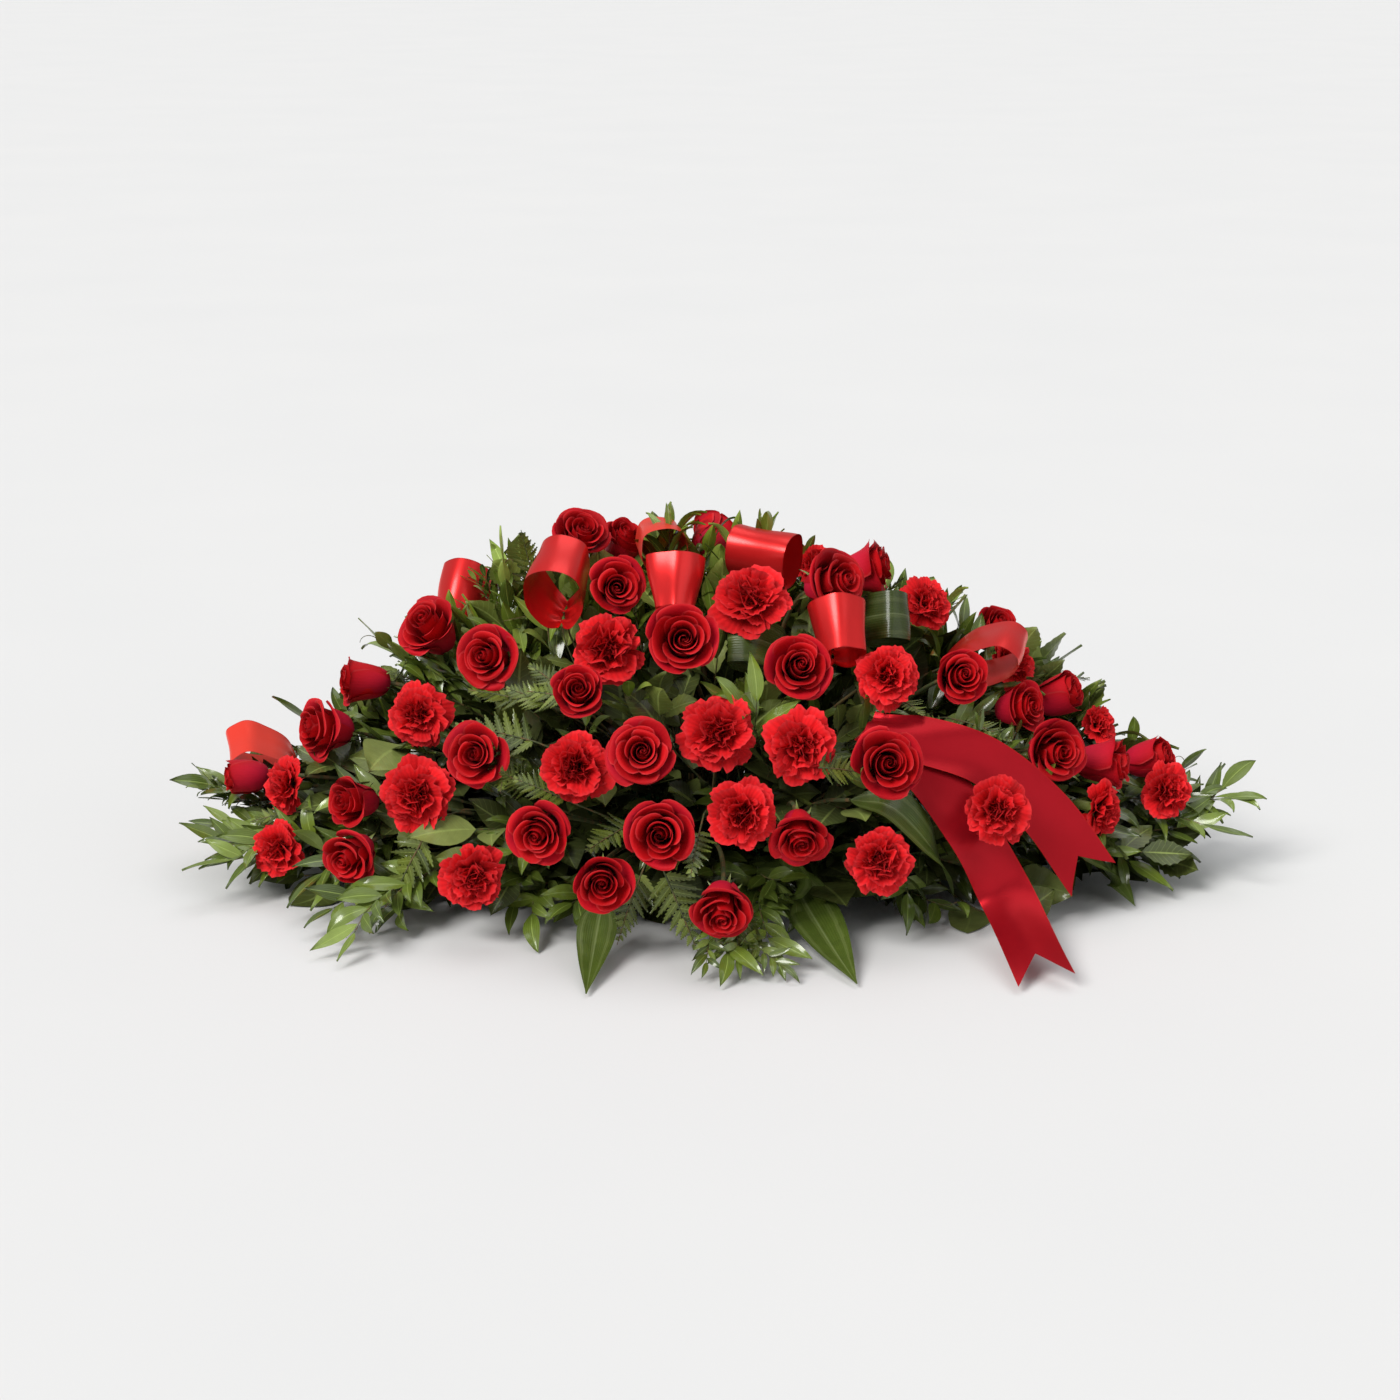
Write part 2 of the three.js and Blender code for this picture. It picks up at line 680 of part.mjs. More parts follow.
// A loop is a drop-shaped band: it leaves its pick, swells, and comes back to the pick.
// `axis` is the way its opening looks, and `rise` the way it grows from the pick, in the view.
const LOOPS = {
  ribbon_loop_far_left: [
    { seen: [264, 756], axis: [14, -30], rise: [-62, 14], length: 78, swell: 42, nearer: -48 },
  ],
  ribbon_loop_left: [
    { seen: [468, 603], axis: [-25, -63], rise: [-30, 20], length: 76, swell: 54, nearer: -66 },
  ],
  ribbon_loop_big: [
    { seen: [560, 584], axis: [-12, -42], rise: [-6, 46], length: 84, swell: 64, nearer: 18 },
  ],
  ribbon_loops_crest: [
    { seen: [661, 549], axis: [8, -16], rise: [0, 74], length: 58, swell: 54, nearer: -18 },
    { seen: [675, 584], axis: [0, -74], rise: [0, 14], length: 64, swell: 56, nearer: 6 },
  ],
  ribbon_loop_right_of_crest: [
    { seen: [764, 560], axis: [66, -12], rise: [-8, 62], length: 66, swell: 54, nearer: -14 },
  ],
  ribbon_loop_right: [
    { seen: [838, 633], axis: [12, -62], rise: [8, 30], length: 72, swell: 56, nearer: -10 },
  ],
  ribbon_loop_far_right: [
    { seen: [982, 656], axis: [-18, -26], rise: [78, 20], length: 92, swell: 46, nearer: -24 },
  ],
};

// The tails' middle lines, as the view shows them.
const TAILS = [
  {
    face: [20, 30],
    points: [
      { seen: [868, 724], nearer: -34 },
      { seen: [920, 738], nearer: -2 },
      { seen: [985, 762], nearer: 14 },
      { seen: [1045, 812], nearer: 16 },
      { seen: [1094, 880], nearer: 12 },
    ],
  },
  {
    face: [10, 35],
    points: [
      { seen: [866, 730], nearer: -46 },
      { seen: [918, 760], nearer: -12 },
      { seen: [965, 822], nearer: 0 },
      { seen: [1005, 892], nearer: -4 },
      { seen: [1048, 982], plane: { z: 4 } },
    ],
  },
];

// A loop's band is drawn in steps and closed to within `open` of its pick, where it is gathered.
const LOOP = { steps: 9, open: 0.015, gather: 0.45, gatherSharpness: 6, spots: 8 };

// The sides of the drop: how wide it is for its swell, and how much the far end outgrows the near.
const DROP = { wide: 0.8625, lopsided: 0.2875 };

function loopCurve(spec) {
  const middle = onMound(spec.seen, spec.nearer);
  const axis = facing(...spec.axis);
  const rise = facing(...spec.rise);
  rise.addScaledVector(axis, -rise.dot(axis)).normalize();
  const across = axis.clone().cross(rise);
  const pinch = middle.clone().addScaledVector(rise, -spec.length / 2);
  const points = [];
  for (let k = 0; k <= LOOP.spots; k += 1) {
    const angle = (2 * Math.PI * k) / LOOP.spots;
    const grown = (spec.length * (1 - Math.cos(angle))) / 2;
    const share = Math.sin(angle) * (DROP.wide - DROP.lopsided * Math.cos(angle));
    const spread = (spec.swell / 2) * share;
    points.push(pinch.clone().addScaledVector(rise, grown).addScaledVector(across, spread));
  }
  return { curve: new THREE.CatmullRomCurve3(points), axis, rise, pinch };
}

// The width of a loop's band runs along its axis, so the band's face is the curve's normal.
function loopBand(spec, width, thickness) {
  const { curve, axis, rise, pinch } = loopCurve(spec);
  const geometry = new THREE.BoxGeometry(width, 1, thickness, 1, LOOP.steps, 1);
  geometry.translate(0, 0.5, 0);
  const position = geometry.attributes.position;
  for (let k = 0; k < position.count; k += 1) {
    const along = clamp(position.getY(k), LOOP.open, 1 - LOOP.open);
    const spot = curve.getPoint(along);
    const outward = curve.getTangent(along).cross(axis);
    const fromFarEnd = Math.abs(2 * position.getY(k) - 1);
    const gather = 1 - LOOP.gather * Math.pow(fromFarEnd, LOOP.gatherSharpness);
    spot.addScaledVector(axis, position.getX(k) * gather);
    spot.addScaledVector(outward, position.getZ(k));
    position.setXYZ(k, spot.x, spot.y, spot.z);
  }
  return { solid: solidOf(geometry), pinch, rise };
}

function bandLoops(owner, specs, width, thickness) {
  const loops = specs.map((spec) => loopBand(spec, width, thickness));
  loops.forEach((loop) => keep(owner, loop.solid));
  return { owner, loops };
}

// The wedge that cuts a V into a tail's end.
function swallowtail(curve, face, width) {
  const end = curve.getPoint(1);
  const ahead = curve.getTangent(1);
  const sideways = ahead.clone().cross(face).normalize();
  const margin = 4;
  const depth = 60;
  const notch = new THREE.Shape();
  notch.moveTo(-width / 2 - margin, margin);
  notch.lineTo(0, -width * RIBBON.notch);
  notch.lineTo(width / 2 + margin, margin);
  notch.closePath();
  const geometry = new THREE.ExtrudeGeometry(notch, { depth, bevelEnabled: false });
  geometry.translate(0, 0, -depth / 2);
  const basis = new THREE.Matrix4().makeBasis(sideways, ahead, sideways.clone().cross(ahead));
  geometry.applyMatrix4(basis.setPosition(end));
  return solidOf(geometry);
}

function tailCurve(tail) {
  return new THREE.CatmullRomCurve3(tail.points.map(placeOf));
}

function ribbonTails(owner) {
  TAILS.forEach((tail) => {
    const curve = tailCurve(tail);
    const face = facing(...tail.face);
    const strip = band(curve, RIBBON.tailWidth, RIBBON.thickness, RIBBON.tailSteps, face);
    keep(owner, strip.subtract(swallowtail(curve, face, RIBBON.tailWidth)));
  });
}

// Greens

// Leaves alternate along a stem, from `bare` of its length to its tip, which a last leaf ends.
// Each leans forward and a little outwards from the mound, and is rolled round the stem, and then
// shortened, until it is clear.
const GREENS = {
  ruscus: {
    length: 52,
    width: 17,
    shares: [1],
    belly: 0.4,
    thickness: 1.8,
    lean: 42,
    stem: 1.6,
    gap: 34,
    bare: 0.48,
  },
  salal: {
    length: 72,
    width: 44,
    shares: [1, 0.85],
    thickness: 2,
    lean: 50,
    stem: 2,
    gap: 42,
    bare: 0.4,
  },
};

function stemFace(point) {
  return moundNormal(point).add(vec(0, 0, 0.5)).normalize();
}

// The rolls, in degrees, and then the sizes that a leaf is tried with.
const LEAF_ROLLS = [0, 24, -24, 48, -48, 75, -75, 100];
const LEAF_SIZES = [1, 0.62];
const LEAF_ARCH = 0.06;
const LEAF_RISE = 0.12;
const LEAF_FOLD = 0.12;
const LEAF_SIZE = { least: 0.85, more: 0.3 };
// A leafy stem ends this share of a leaf's length before the tip that its last leaf reaches.
const LAST_LEAF = 0.8;

function leafTry(kind, base, ahead, face, side, size, attempt) {
  const roll = radians(LEAF_ROLLS[attempt % LEAF_ROLLS.length]);
  const scale = size * LEAF_SIZES[Math.floor(attempt / LEAF_ROLLS.length)];
  const spun = face.clone().applyAxisAngle(ahead, roll);
  const sideways = ahead.clone().cross(spun).normalize().multiplyScalar(side);
  const lean = radians(side === 0 ? 0 : kind.lean);
  const way = ahead.clone().multiplyScalar(Math.cos(lean))
    .addScaledVector(sideways, Math.sin(lean))
    .addScaledVector(spun, LEAF_RISE)
    .normalize();
  const length = kind.length * scale;
  const root = base.clone().addScaledVector(way, -ROOT_SINK);
  const middle = root.clone().addScaledVector(way, length / 2).addScaledVector(spun, length * LEAF_ARCH);
  const end = root.clone().addScaledVector(way, length).addScaledVector(spun, -length * LEAF_ARCH);
  const curve = new THREE.QuadraticBezierCurve3(root, middle, end);
  const halves = kind.shares.map((share) => (share * kind.width * scale) / 2);
  return blade(curve, halves, kind.thickness, spun, { fold: LEAF_FOLD, belly: kind.belly });
}

function leafyStem(owner, kindName, entry, spec, seed) {
  const kind = GREENS[kindName];
  const draw = seeded(seed);
  const tip = placeOf(spec);
  const towards = tip.clone().sub(entry.point).normalize();
  const axis = spec.heading ? facing(...spec.heading) : towards;
  const end = tip.clone().addScaledVector(axis, -kind.length * LAST_LEAF);
  const curve = clearStem(owner, entry, end, axis, kind.stem, LEAFY_STEPS);
  const span = curve.getLength();
  const count = Math.max(1, Math.floor((span * (1 - kind.bare)) / kind.gap));
  for (let k = 0; k <= count; k += 1) {
    const along = k === count ? 1 : kind.bare + ((1 - kind.bare) * (k + 0.5)) / (count + 0.5);
    const side = k === count ? 0 : (k % 2 ? 1 : -1);
    const base = curve.getPointAt(along);
    const ahead = curve.getTangentAt(along);
    const size = LEAF_SIZE.least + LEAF_SIZE.more * draw();
    const face = stemFace(base);
    const leaf = firstClear(owner, LEAF_ROLLS.length * LEAF_SIZES.length, (attempt) => {
      return leafTry(kind, base, ahead, face, side, size, attempt);
    });
    if (leaf) keep(owner, leaf);
  }
}

// The rolls, in degrees, and then the shares of its width that a large blade is tried with.
const BLADE_ROLLS = [0, 15, -15, 30, -30, 50, -50, 75];
const BLADE_SIZES = [1, 0.8, 0.6, 0.45, 0.3];

// A fern frond: one thin arched blade, whose outline is cut almost to the rib between its leaflets.
function fernFrond(owner, entry, spec) {
  const tip = placeOf(spec);
  const base = placeOf(spec.from);
  const axis = tip.clone().sub(base).normalize();
  clearStem(owner, entry, base.clone().addScaledVector(axis, BLADE_SINK), axis, FERN.stalk, STEM_STEPS);
  const normal = spec.face ? facing(...spec.face) : stemFace(mix(base, tip, 0.5));
  const length = base.distanceTo(tip);
  const frond = firstClear(owner, BLADE_ROLLS.length * BLADE_SIZES.length, (attempt) => {
    const roll = radians(BLADE_ROLLS[attempt % BLADE_ROLLS.length]);
    const width = spec.width * BLADE_SIZES[Math.floor(attempt / BLADE_ROLLS.length)];
    const face = normal.clone().applyAxisAngle(axis, roll);
    const middle = mix(base, tip, 0.5).addScaledVector(face, length * FERN.arch);
    const curve = new THREE.QuadraticBezierCurve3(base, middle, tip);
    const halves = [];
    for (let k = 0; k < spec.leaflets; k += 1) {
      const share = 1 - k / spec.leaflets;
      halves.push((width / 2) * share * (k === 0 ? FERN.firstPair : 1));
      halves.push(Math.max(FERN.rib, FERN.cut * width * share));
    }
    return blade(curve, halves, FERN.thickness, face, { sweep: FERN.sweep / length });
  });
  if (!frond) throw new Error(`no clear place for a frond of ${owner}`);
  keep(owner, frond);
}

// A ti leaf: a long broad blade on a short stalk. Its middle line is a list of places.
function tiLeaf(owner, entry, spec) {
  const points = spec.points.map(placeOf);
  const curve = new THREE.CatmullRomCurve3(points);
  const start = points[0];
  const axis = curve.getTangent(0);
  clearStem(owner, entry, start.clone().addScaledVector(axis, BLADE_SINK), axis, TI.stalk, STEM_STEPS);
  const half = spec.width / 2;
  const leaf = firstClear(owner, BLADE_ROLLS.length * BLADE_SIZES.length, (attempt) => {
    const roll = radians(BLADE_ROLLS[attempt % BLADE_ROLLS.length]);
    const size = BLADE_SIZES[Math.floor(attempt / BLADE_ROLLS.length)];
    const face = facing(...spec.face).applyAxisAngle(axis, roll);
    const halves = TI.shares.map((share) => share * half * size);
    return blade(curve, halves, TI.thickness, face, { fold: TI.fold });
  });
  if (!leaf) throw new Error(`no clear place for a leaf of ${owner}`);
  keep(owner, leaf);
}

// Each stem draws its leaves' sizes from a seed of its own, and a node has this many of them.
const LEAFY_SEEDS = 17;

const LEAFY = {
  ruscus_left_wing: ["ruscus", [
    { seen: [183, 782], plane: { y: -20 }, heading: [-80, 8] },
    { seen: [186, 826], plane: { y: -70 }, heading: [-75, 0] },
    { seen: [196, 868], plane: { y: -150 }, heading: [-60, -10] },
  ]],
  ruscus_right_wing: ["ruscus", [
    { seen: [1260, 800], plane: { y: -50 }, heading: [80, 0] },
    { seen: [1206, 748], plane: { y: 20 }, heading: [60, 40] },
    { seen: [1236, 838], plane: { y: -110 }, heading: [60, -20] },
  ]],
  ruscus_crest: ["ruscus", [
    { seen: [671, 495], plane: { y: 40 }, heading: [10, 80] },
    { seen: [772, 506], plane: { y: 0 }, heading: [50, 60] },
  ]],
  ruscus_left_shoulder: ["ruscus", [
    { seen: [503, 529], plane: { y: 10 }, heading: [-10, 80] },
    { seen: [354, 617], plane: { y: 0 }, heading: [-60, 40] },
    { seen: [284, 706], plane: { y: -10 }, heading: [-70, 30] },
  ]],
  ruscus_right_shoulder: ["ruscus", [
    { seen: [964, 592], plane: { y: 10 }, heading: [60, 40] },
    { seen: [1058, 658], plane: { y: -30 }, heading: [70, 40] },
    { seen: [1114, 702], plane: { y: -10 }, heading: [70, 20] },
  ]],
  ruscus_front_left: ["ruscus", [
    { seen: [300, 900], plane: { z: 24 }, heading: [-40, -40] },
    { seen: [345, 962], plane: { z: 8 }, heading: [-10, -40] },
    { seen: [404, 934], plane: { z: 10 }, heading: [10, -30] },
  ]],
  ruscus_front: ["ruscus", [
    { seen: [508, 930], plane: { z: 10 }, heading: [-10, -40] },
    { seen: [536, 942], plane: { z: 8 }, heading: [10, -40] },
  ]],
  ruscus_front_right: ["ruscus", [
    { seen: [728, 982], plane: { z: 6 }, heading: [0, -40] },
    { seen: [783, 976], plane: { z: 6 }, heading: [20, -40] },
    { seen: [918, 926], plane: { z: 12 }, heading: [20, -40] },
  ]],
  ruscus_centre: ["ruscus", [
    { seen: [757, 664], nearer: 24, heading: [0, 70] },
    { seen: [722, 690], nearer: 16, heading: [-50, 40] },
  ]],
  ruscus_back: ["ruscus", [
    { back: [-430, 70], heading: [-120, 10] },
    { back: [-190, 60], heading: [-170, 0] },
    { back: [420, 60], heading: [120, 10] },
    { back: [-230, 215], heading: [-150, 50] },
    { back: [150, 235], heading: [150, 50] },
  ]],
  salal_left: ["salal", [
    { seen: [372, 766], nearer: -4, heading: [-30, -20] },
    { seen: [300, 806], nearer: -12, heading: [-60, 0] },
    { seen: [505, 700], nearer: -20, heading: [-10, 30] },
  ]],
  salal_front: ["salal", [
    { seen: [832, 926], plane: { z: 22 }, heading: [-10, -30] },
    { seen: [870, 822], nearer: -14, heading: [20, -10] },
    { seen: [655, 700], nearer: -16, heading: [0, 20] },
  ]],
  salal_back: ["salal", [
    { back: [-20, 160], heading: [180, 40] },
    { back: [250, 60], heading: [160, 10] },
  ]],
};

const FERNS = {
  fern_front_left: [
    { seen: [386, 918], plane: { z: 10 }, from: { seen: [424, 838], nearer: -26 }, width: 74, leaflets: 7 },
  ],
  fern_front: [
    { seen: [698, 952], plane: { z: 8 }, from: { seen: [664, 872], nearer: -30 }, width: 70, leaflets: 7 },
  ],
  fern_left_centre: [
    { seen: [452, 726], nearer: -2, from: { seen: [536, 742], nearer: -36 }, width: 80, leaflets: 7 },
    { seen: [500, 770], nearer: 0, from: { seen: [528, 790], nearer: -36 }, width: 60, leaflets: 7 },
  ],
  fern_crest: [
    {
      seen: [778, 531],
      plane: { y: 70 },
      from: { seen: [806, 590], plane: { y: 70 } },
      width: 50,
      leaflets: 5,
    },
    {
      seen: [905, 577],
      plane: { y: 50 },
      from: { seen: [862, 616], plane: { y: 50 } },
      width: 50,
      leaflets: 5,
    },
    {
      seen: [521, 530],
      plane: { y: 10 },
      from: { seen: [536, 590], plane: { y: 20 } },
      width: 50,
      leaflets: 5,
    },
  ],
  fern_back: [
    { back: [-130, 40], from: { back: [-100, 110] }, width: 80, leaflets: 7, face: [180, 60] },
    { back: [230, 40], from: { back: [215, 110] }, width: 80, leaflets: 7, face: [180, 60] },
  ],
};

// Two ti leaves are rolled over and pinned, and stand among the blooms as ribbon loops do.
const TI_LOOPS = [
  { seen: [881, 620], axis: [4, -78], rise: [52, 10], length: 62, swell: 44, nearer: -34 },
  { seen: [757, 646], axis: [-10, -70], rise: [-58, -8], length: 66, swell: 36, nearer: -66 },
];

const TI_LEAVES = {
  ti_leaf_front_left: [{
    width: 56,
    face: [0, 55],
    points: [
      { seen: [604, 900], nearer: -70 },
      { seen: [599, 922], plane: { z: 34 } },
      { seen: [593, 955], plane: { z: 16 } },
      { seen: [586, 994], plane: { z: 4 } },
    ],
  }],
  ti_leaf_front_right: [{
    width: 62,
    face: [0, 50],
    points: [
      { seen: [785, 850], nearer: -70 },
      { seen: [800, 892], plane: { z: 38 } },
      { seen: [828, 940], plane: { z: 18 } },
      { seen: [857, 984], plane: { z: 5 } },
    ],
  }],
  ti_leaves_right: [
    {
      width: 60,
      face: [20, 40],
      points: [
        { seen: [850, 800], nearer: -40 },
        { seen: [890, 806], nearer: -10 },
        { seen: [930, 846], nearer: -12 },
        { seen: [955, 900], plane: { z: 24 } },
      ],
    },
    {
      width: 58,
      face: [20, 50],
      points: [
        { seen: [1062, 810], nearer: -60 },
        { seen: [1088, 850], nearer: -36 },
        { seen: [1112, 880], plane: { z: 20 } },
        { seen: [1135, 906], plane: { z: 5 } },
      ],
    },
  ],
};

// Assembly: the ribbon and the heads first, then their stems, then the greens between them.

const loopGroups = Object.entries(LOOPS).map(([owner, specs]) => {
  return bandLoops(owner, specs, RIBBON.width, RIBBON.thickness);
});
loopGroups.push(bandLoops("ti_leaf_loops", TI_LOOPS, TI.rolledWidth, TI.thickness));
ribbonTails("ribbon_tails");
const bloomGroups = [
  ...Object.entries(ROSES).map(([owner, specs]) => {
    return bloomGroup(owner, ROSE_HEAD, ROSE.stem, specs);
  }),
  ...Object.entries(CARNATIONS).map(([owner, specs]) => {
    return bloomGroup(owner, CARNATION_HEAD, CARNATION.stem, specs);
  }),
];

function middleOf(points) {
  return points.reduce((sum, point) => sum.add(point), vec(0, 0, 0)).divideScalar(points.length);
}

loopGroups.forEach(({ owner, loops }) => {
  const entry = rootPeg(owner, middleOf(loops.map((loop) => loop.pinch)));
  loops.forEach((loop) => {
    const seat = loop.pinch.clone().addScaledVector(loop.rise, BLADE_SINK);
    clearStem(owner, entry, seat, loop.rise, RIBBON.pick, STEM_STEPS);
  });
});
const tailStarts = TAILS.map((tail) => tailCurve(tail).getPoint(RIBBON.pickedAt));
const tailEntry = rootPeg("ribbon_tails", tailStarts[0]);
tailStarts.forEach((start) => {
  const way = start.clone().sub(tailEntry.point).normalize();
  clearStem("ribbon_tails", tailEntry, start, way, RIBBON.pick, STEM_STEPS);
});
bloomGroups.forEach(({ owner, heads, stemRadius }) => {
  const entry = rootPeg(owner, middleOf(heads.map((head) => head.base)));
  heads.forEach(({ axis, base, width }) => {
    const seat = base.clone().addScaledVector(axis, width * HEAD_SINK);
    clearStem(owner, entry, seat, axis, stemRadius, STEM_STEPS);
  });
});
Object.entries(TI_LEAVES).forEach(([owner, specs]) => {
  const entry = rootPeg(owner, placeOf(specs[0].points[0]));
  specs.forEach((spec) => tiLeaf(owner, entry, spec));
});
Object.entries(FERNS).forEach(([owner, specs]) => {
  const entry = rootPeg(owner, middleOf(specs.map((spec) => placeOf(spec.from))));
  specs.forEach((spec) => fernFrond(owner, entry, spec));
});
Object.entries(LEAFY).forEach(([owner, [kind, specs]], group) => {
  const entry = rootPeg(owner, middleOf(specs.map(placeOf)));
  specs.forEach((spec, k) => leafyStem(owner, kind, entry, spec, group * LEAFY_SEEDS + k));
});

Object.entries(bricks).forEach(([name, brick]) => {
  const holes = entries.map((entry) => peg(entry, PEG.clearance)).concat(prongs(PRONG.clearance));
  nodes.set(name, [holes.reduce((rest, hole) => rest.subtract(hole), brick)]);
});

// The scene

function colourOf(name) {
  if (name.startsWith("roses")) return { color: ROSE.colour, roughness: 0.6 };
  if (name.startsWith("carnations")) return { color: CARNATION.colour, roughness: 0.75 };
  if (name.startsWith("ribbon")) return { color: RIBBON.colour, roughness: 0.32 };
  if (name.startsWith("saddle")) return { color: COLOURS.tray, roughness: 0.5 };
  if (name.startsWith("floral")) return { color: COLOURS.foam, roughness: 0.95 };
  const kind = name.split("_")[0];
  return { color: COLOURS[kind], roughness: 0.5 };
}

function meshOf(name, solids) {
  const whole = solids.reduce((sum, solid) => sum.add(solid));
  const body = whole.decompose().sort((a, b) => b.volume() - a.volume())[0].simplify(MERGE_STEP);
  const raw = body.getMesh();
  const geometry = new THREE.BufferGeometry();
  geometry.setAttribute("position", new THREE.BufferAttribute(new Float32Array(raw.vertProperties), 3));
  geometry.setIndex(Array.from(raw.triVerts));
  geometry.computeVertexNormals();
  const material = new THREE.MeshStandardMaterial({ metalness: 0, ...colourOf(name) });
  const mesh = new THREE.Mesh(geometry, material);
  mesh.name = name;
  return mesh;
}

const spray = new THREE.Group();
nodes.forEach((solids, name) => spray.add(meshOf(name, solids)));

export default spray;
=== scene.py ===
"""Casket spray: red roses, red carnations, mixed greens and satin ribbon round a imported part.

The blooms, the ribbon and the leading greens stand where the part's solids do, by the same
tables and formulas. Smaller greens fill the mound between them. Lengths are in metres, and in
millimetres in the tables. A place seen from the front is given as (across, down) on a grid of
1400 by 1400 steps.
"""

import math
from collections import defaultdict, namedtuple

import bmesh
import bpy
from bpy.props import FloatProperty, FloatVectorProperty, IntProperty, PointerProperty
from mathutils import Matrix, Vector


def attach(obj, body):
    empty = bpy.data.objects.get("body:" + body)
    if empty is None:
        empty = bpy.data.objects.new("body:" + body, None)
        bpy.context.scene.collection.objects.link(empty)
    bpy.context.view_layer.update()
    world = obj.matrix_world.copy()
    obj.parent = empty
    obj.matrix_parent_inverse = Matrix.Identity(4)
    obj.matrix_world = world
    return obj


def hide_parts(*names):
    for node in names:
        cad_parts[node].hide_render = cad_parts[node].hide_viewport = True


bl_info = {
    "name": "Casket Spray",
    "version": (1, 0, 0),
    "blender": (4, 5, 0),
    "location": "View3D > Sidebar > Spray",
    "description": "Makes the flowers, greens and ribbon of a casket spray",
    "category": "Add Mesh",
}

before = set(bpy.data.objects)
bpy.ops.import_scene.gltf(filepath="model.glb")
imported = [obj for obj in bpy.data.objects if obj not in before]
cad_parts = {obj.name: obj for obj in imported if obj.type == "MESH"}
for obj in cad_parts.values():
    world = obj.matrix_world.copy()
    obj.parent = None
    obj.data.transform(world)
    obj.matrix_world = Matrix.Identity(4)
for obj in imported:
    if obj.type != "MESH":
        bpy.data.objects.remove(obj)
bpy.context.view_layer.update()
MM = 0.001
UP = Vector((0, 0, 1))

# The view from the front, which the places are read in.
TILT = math.radians(16)
EYE_DISTANCE = 3.0
STEP_SIZE = 1.06 * MM
GRID_STEPS = 1400
AIM = Vector((-0.021, 0, 0.179))
VIEW_RIGHT = Vector((1, 0, 0))
VIEW_FORWARD = Vector((0, math.cos(TILT), -math.sin(TILT)))
VIEW_UP = Vector((0, math.sin(TILT), math.cos(TILT)))
EYE = AIM - VIEW_FORWARD * EYE_DISTANCE
SIGHT_REACH = 0.7
SIGHT_STEP = 0.002
NORMAL_STEP = 0.002

# The mound that the blooms are set on: a long low dome, drawn out to a point at each wing.
HALF_LENGTH = 0.551
CREST = 0.352
WING_END = 0.075
FRONT = 0.36
BACK = 0.25
PLAN_LENGTH = 0.64
CREST_FALL = 1.8
PLAN_FALL = 1.6
ROUNDNESS = 1.7
LEAST_HEIGHT = 0.04
LEAST_DEPTH = 0.03
FLOOR_GAP = 0.0012

# The foam, and the holes that the stems stand in.
FOAM_LENGTH = 0.228
FOAM_WIDTH = 0.108
FOAM_HEIGHT = 0.078
FOAM_SEAM = 0.003
FOAM_END = FOAM_SEAM / 2 + FOAM_LENGTH
FOAM_BASE = 0.0033
TRAY_WALL = 0.024
PRONG_HEIGHT = 0.022
PRONG_FROM_CENTRE = 0.07
PEG_DEPTH = 0.026
PEG_EDGE = 0.009
PEG_SPACING = 0.0115
HEART_SHARE = 0.42
HEART_REACH = 0.19
HEART_HEIGHT = 0.042

# A place in the tables is (across, down, nearer) on the mound, (across, down, "y" or "z", level) on
# an upright or a level plane, and (x, z) on the back.

# Blooms: the place, the width, and the facing in degrees to the right and upwards. A bloom on the
# back has no facing.
ROSES = {
    "roses_crest_left": (
        (580, 537, -10, 60, 20, 35), (622, 547, -45, 52, 30, 45), (617, 587, 10, 60, 8, 5),
    ),
    "roses_crest": ((711, 538, -40, 56, 150, 25), (40, 250, 62)),
    "roses_centre": ((683, 640, 8, 76, 0, 10), (797, 668, 4, 66, 5, 6)),
    "roses_left_centre": ((578, 692, 16, 56, 0, 14), (641, 753, 4, 68, -4, 8)),
    "roses_front_left": ((541, 831, 6, 64, -10, -14), (603, 881, 6, 63, 4, -12)),
    "roses_front": ((662, 834, 4, 71, -2, -3), (722, 906, 0, 62, -3, -34)),
    "roses_front_right": ((886, 764, 30, 74, 8, 0), (800, 834, -12, 60, 6, -38)),
    "roses_crest_right": ((832, 583, 16, 68, 42, 10), (866, 570, -34, 58, 80, 10)),
    "roses_left_shoulder": ((432, 630, 0, 66, -30, 32), (491, 657, 4, 67, -18, 4)),
    "roses_left_wing": (
        (366, 681, -8, 50, -74, 2), (326, 729, 0, 62, -52, 2), (250, 776, -6, 42, -72, -2),
    ),
    "roses_left_front": (
        (478, 755, 0, 65, -16, 2), (356, 802, -2, 54, -42, -2), (354, 854, 4, 58, -24, -20),
    ),
    "roses_right_shoulder": ((959, 677, 12, 58, 12, 0), (994, 632, -90, 52, 30, 30)),
    "roses_right_wing": (
        (1018, 707, 0, 54, 44, 8), (1054, 697, -46, 46, 60, 20), (1052, 752, 10, 66, 24, 0),
    ),
    "roses_right_tip": ((1102, 762, -8, 54, 74, 0), (1145, 759, -30, 46, 58, 14)),
    "roses_back_left": ((-330, 120, 62), (-150, 170, 64)),
    "roses_back_right": ((190, 150, 66), (370, 90, 60)),
}
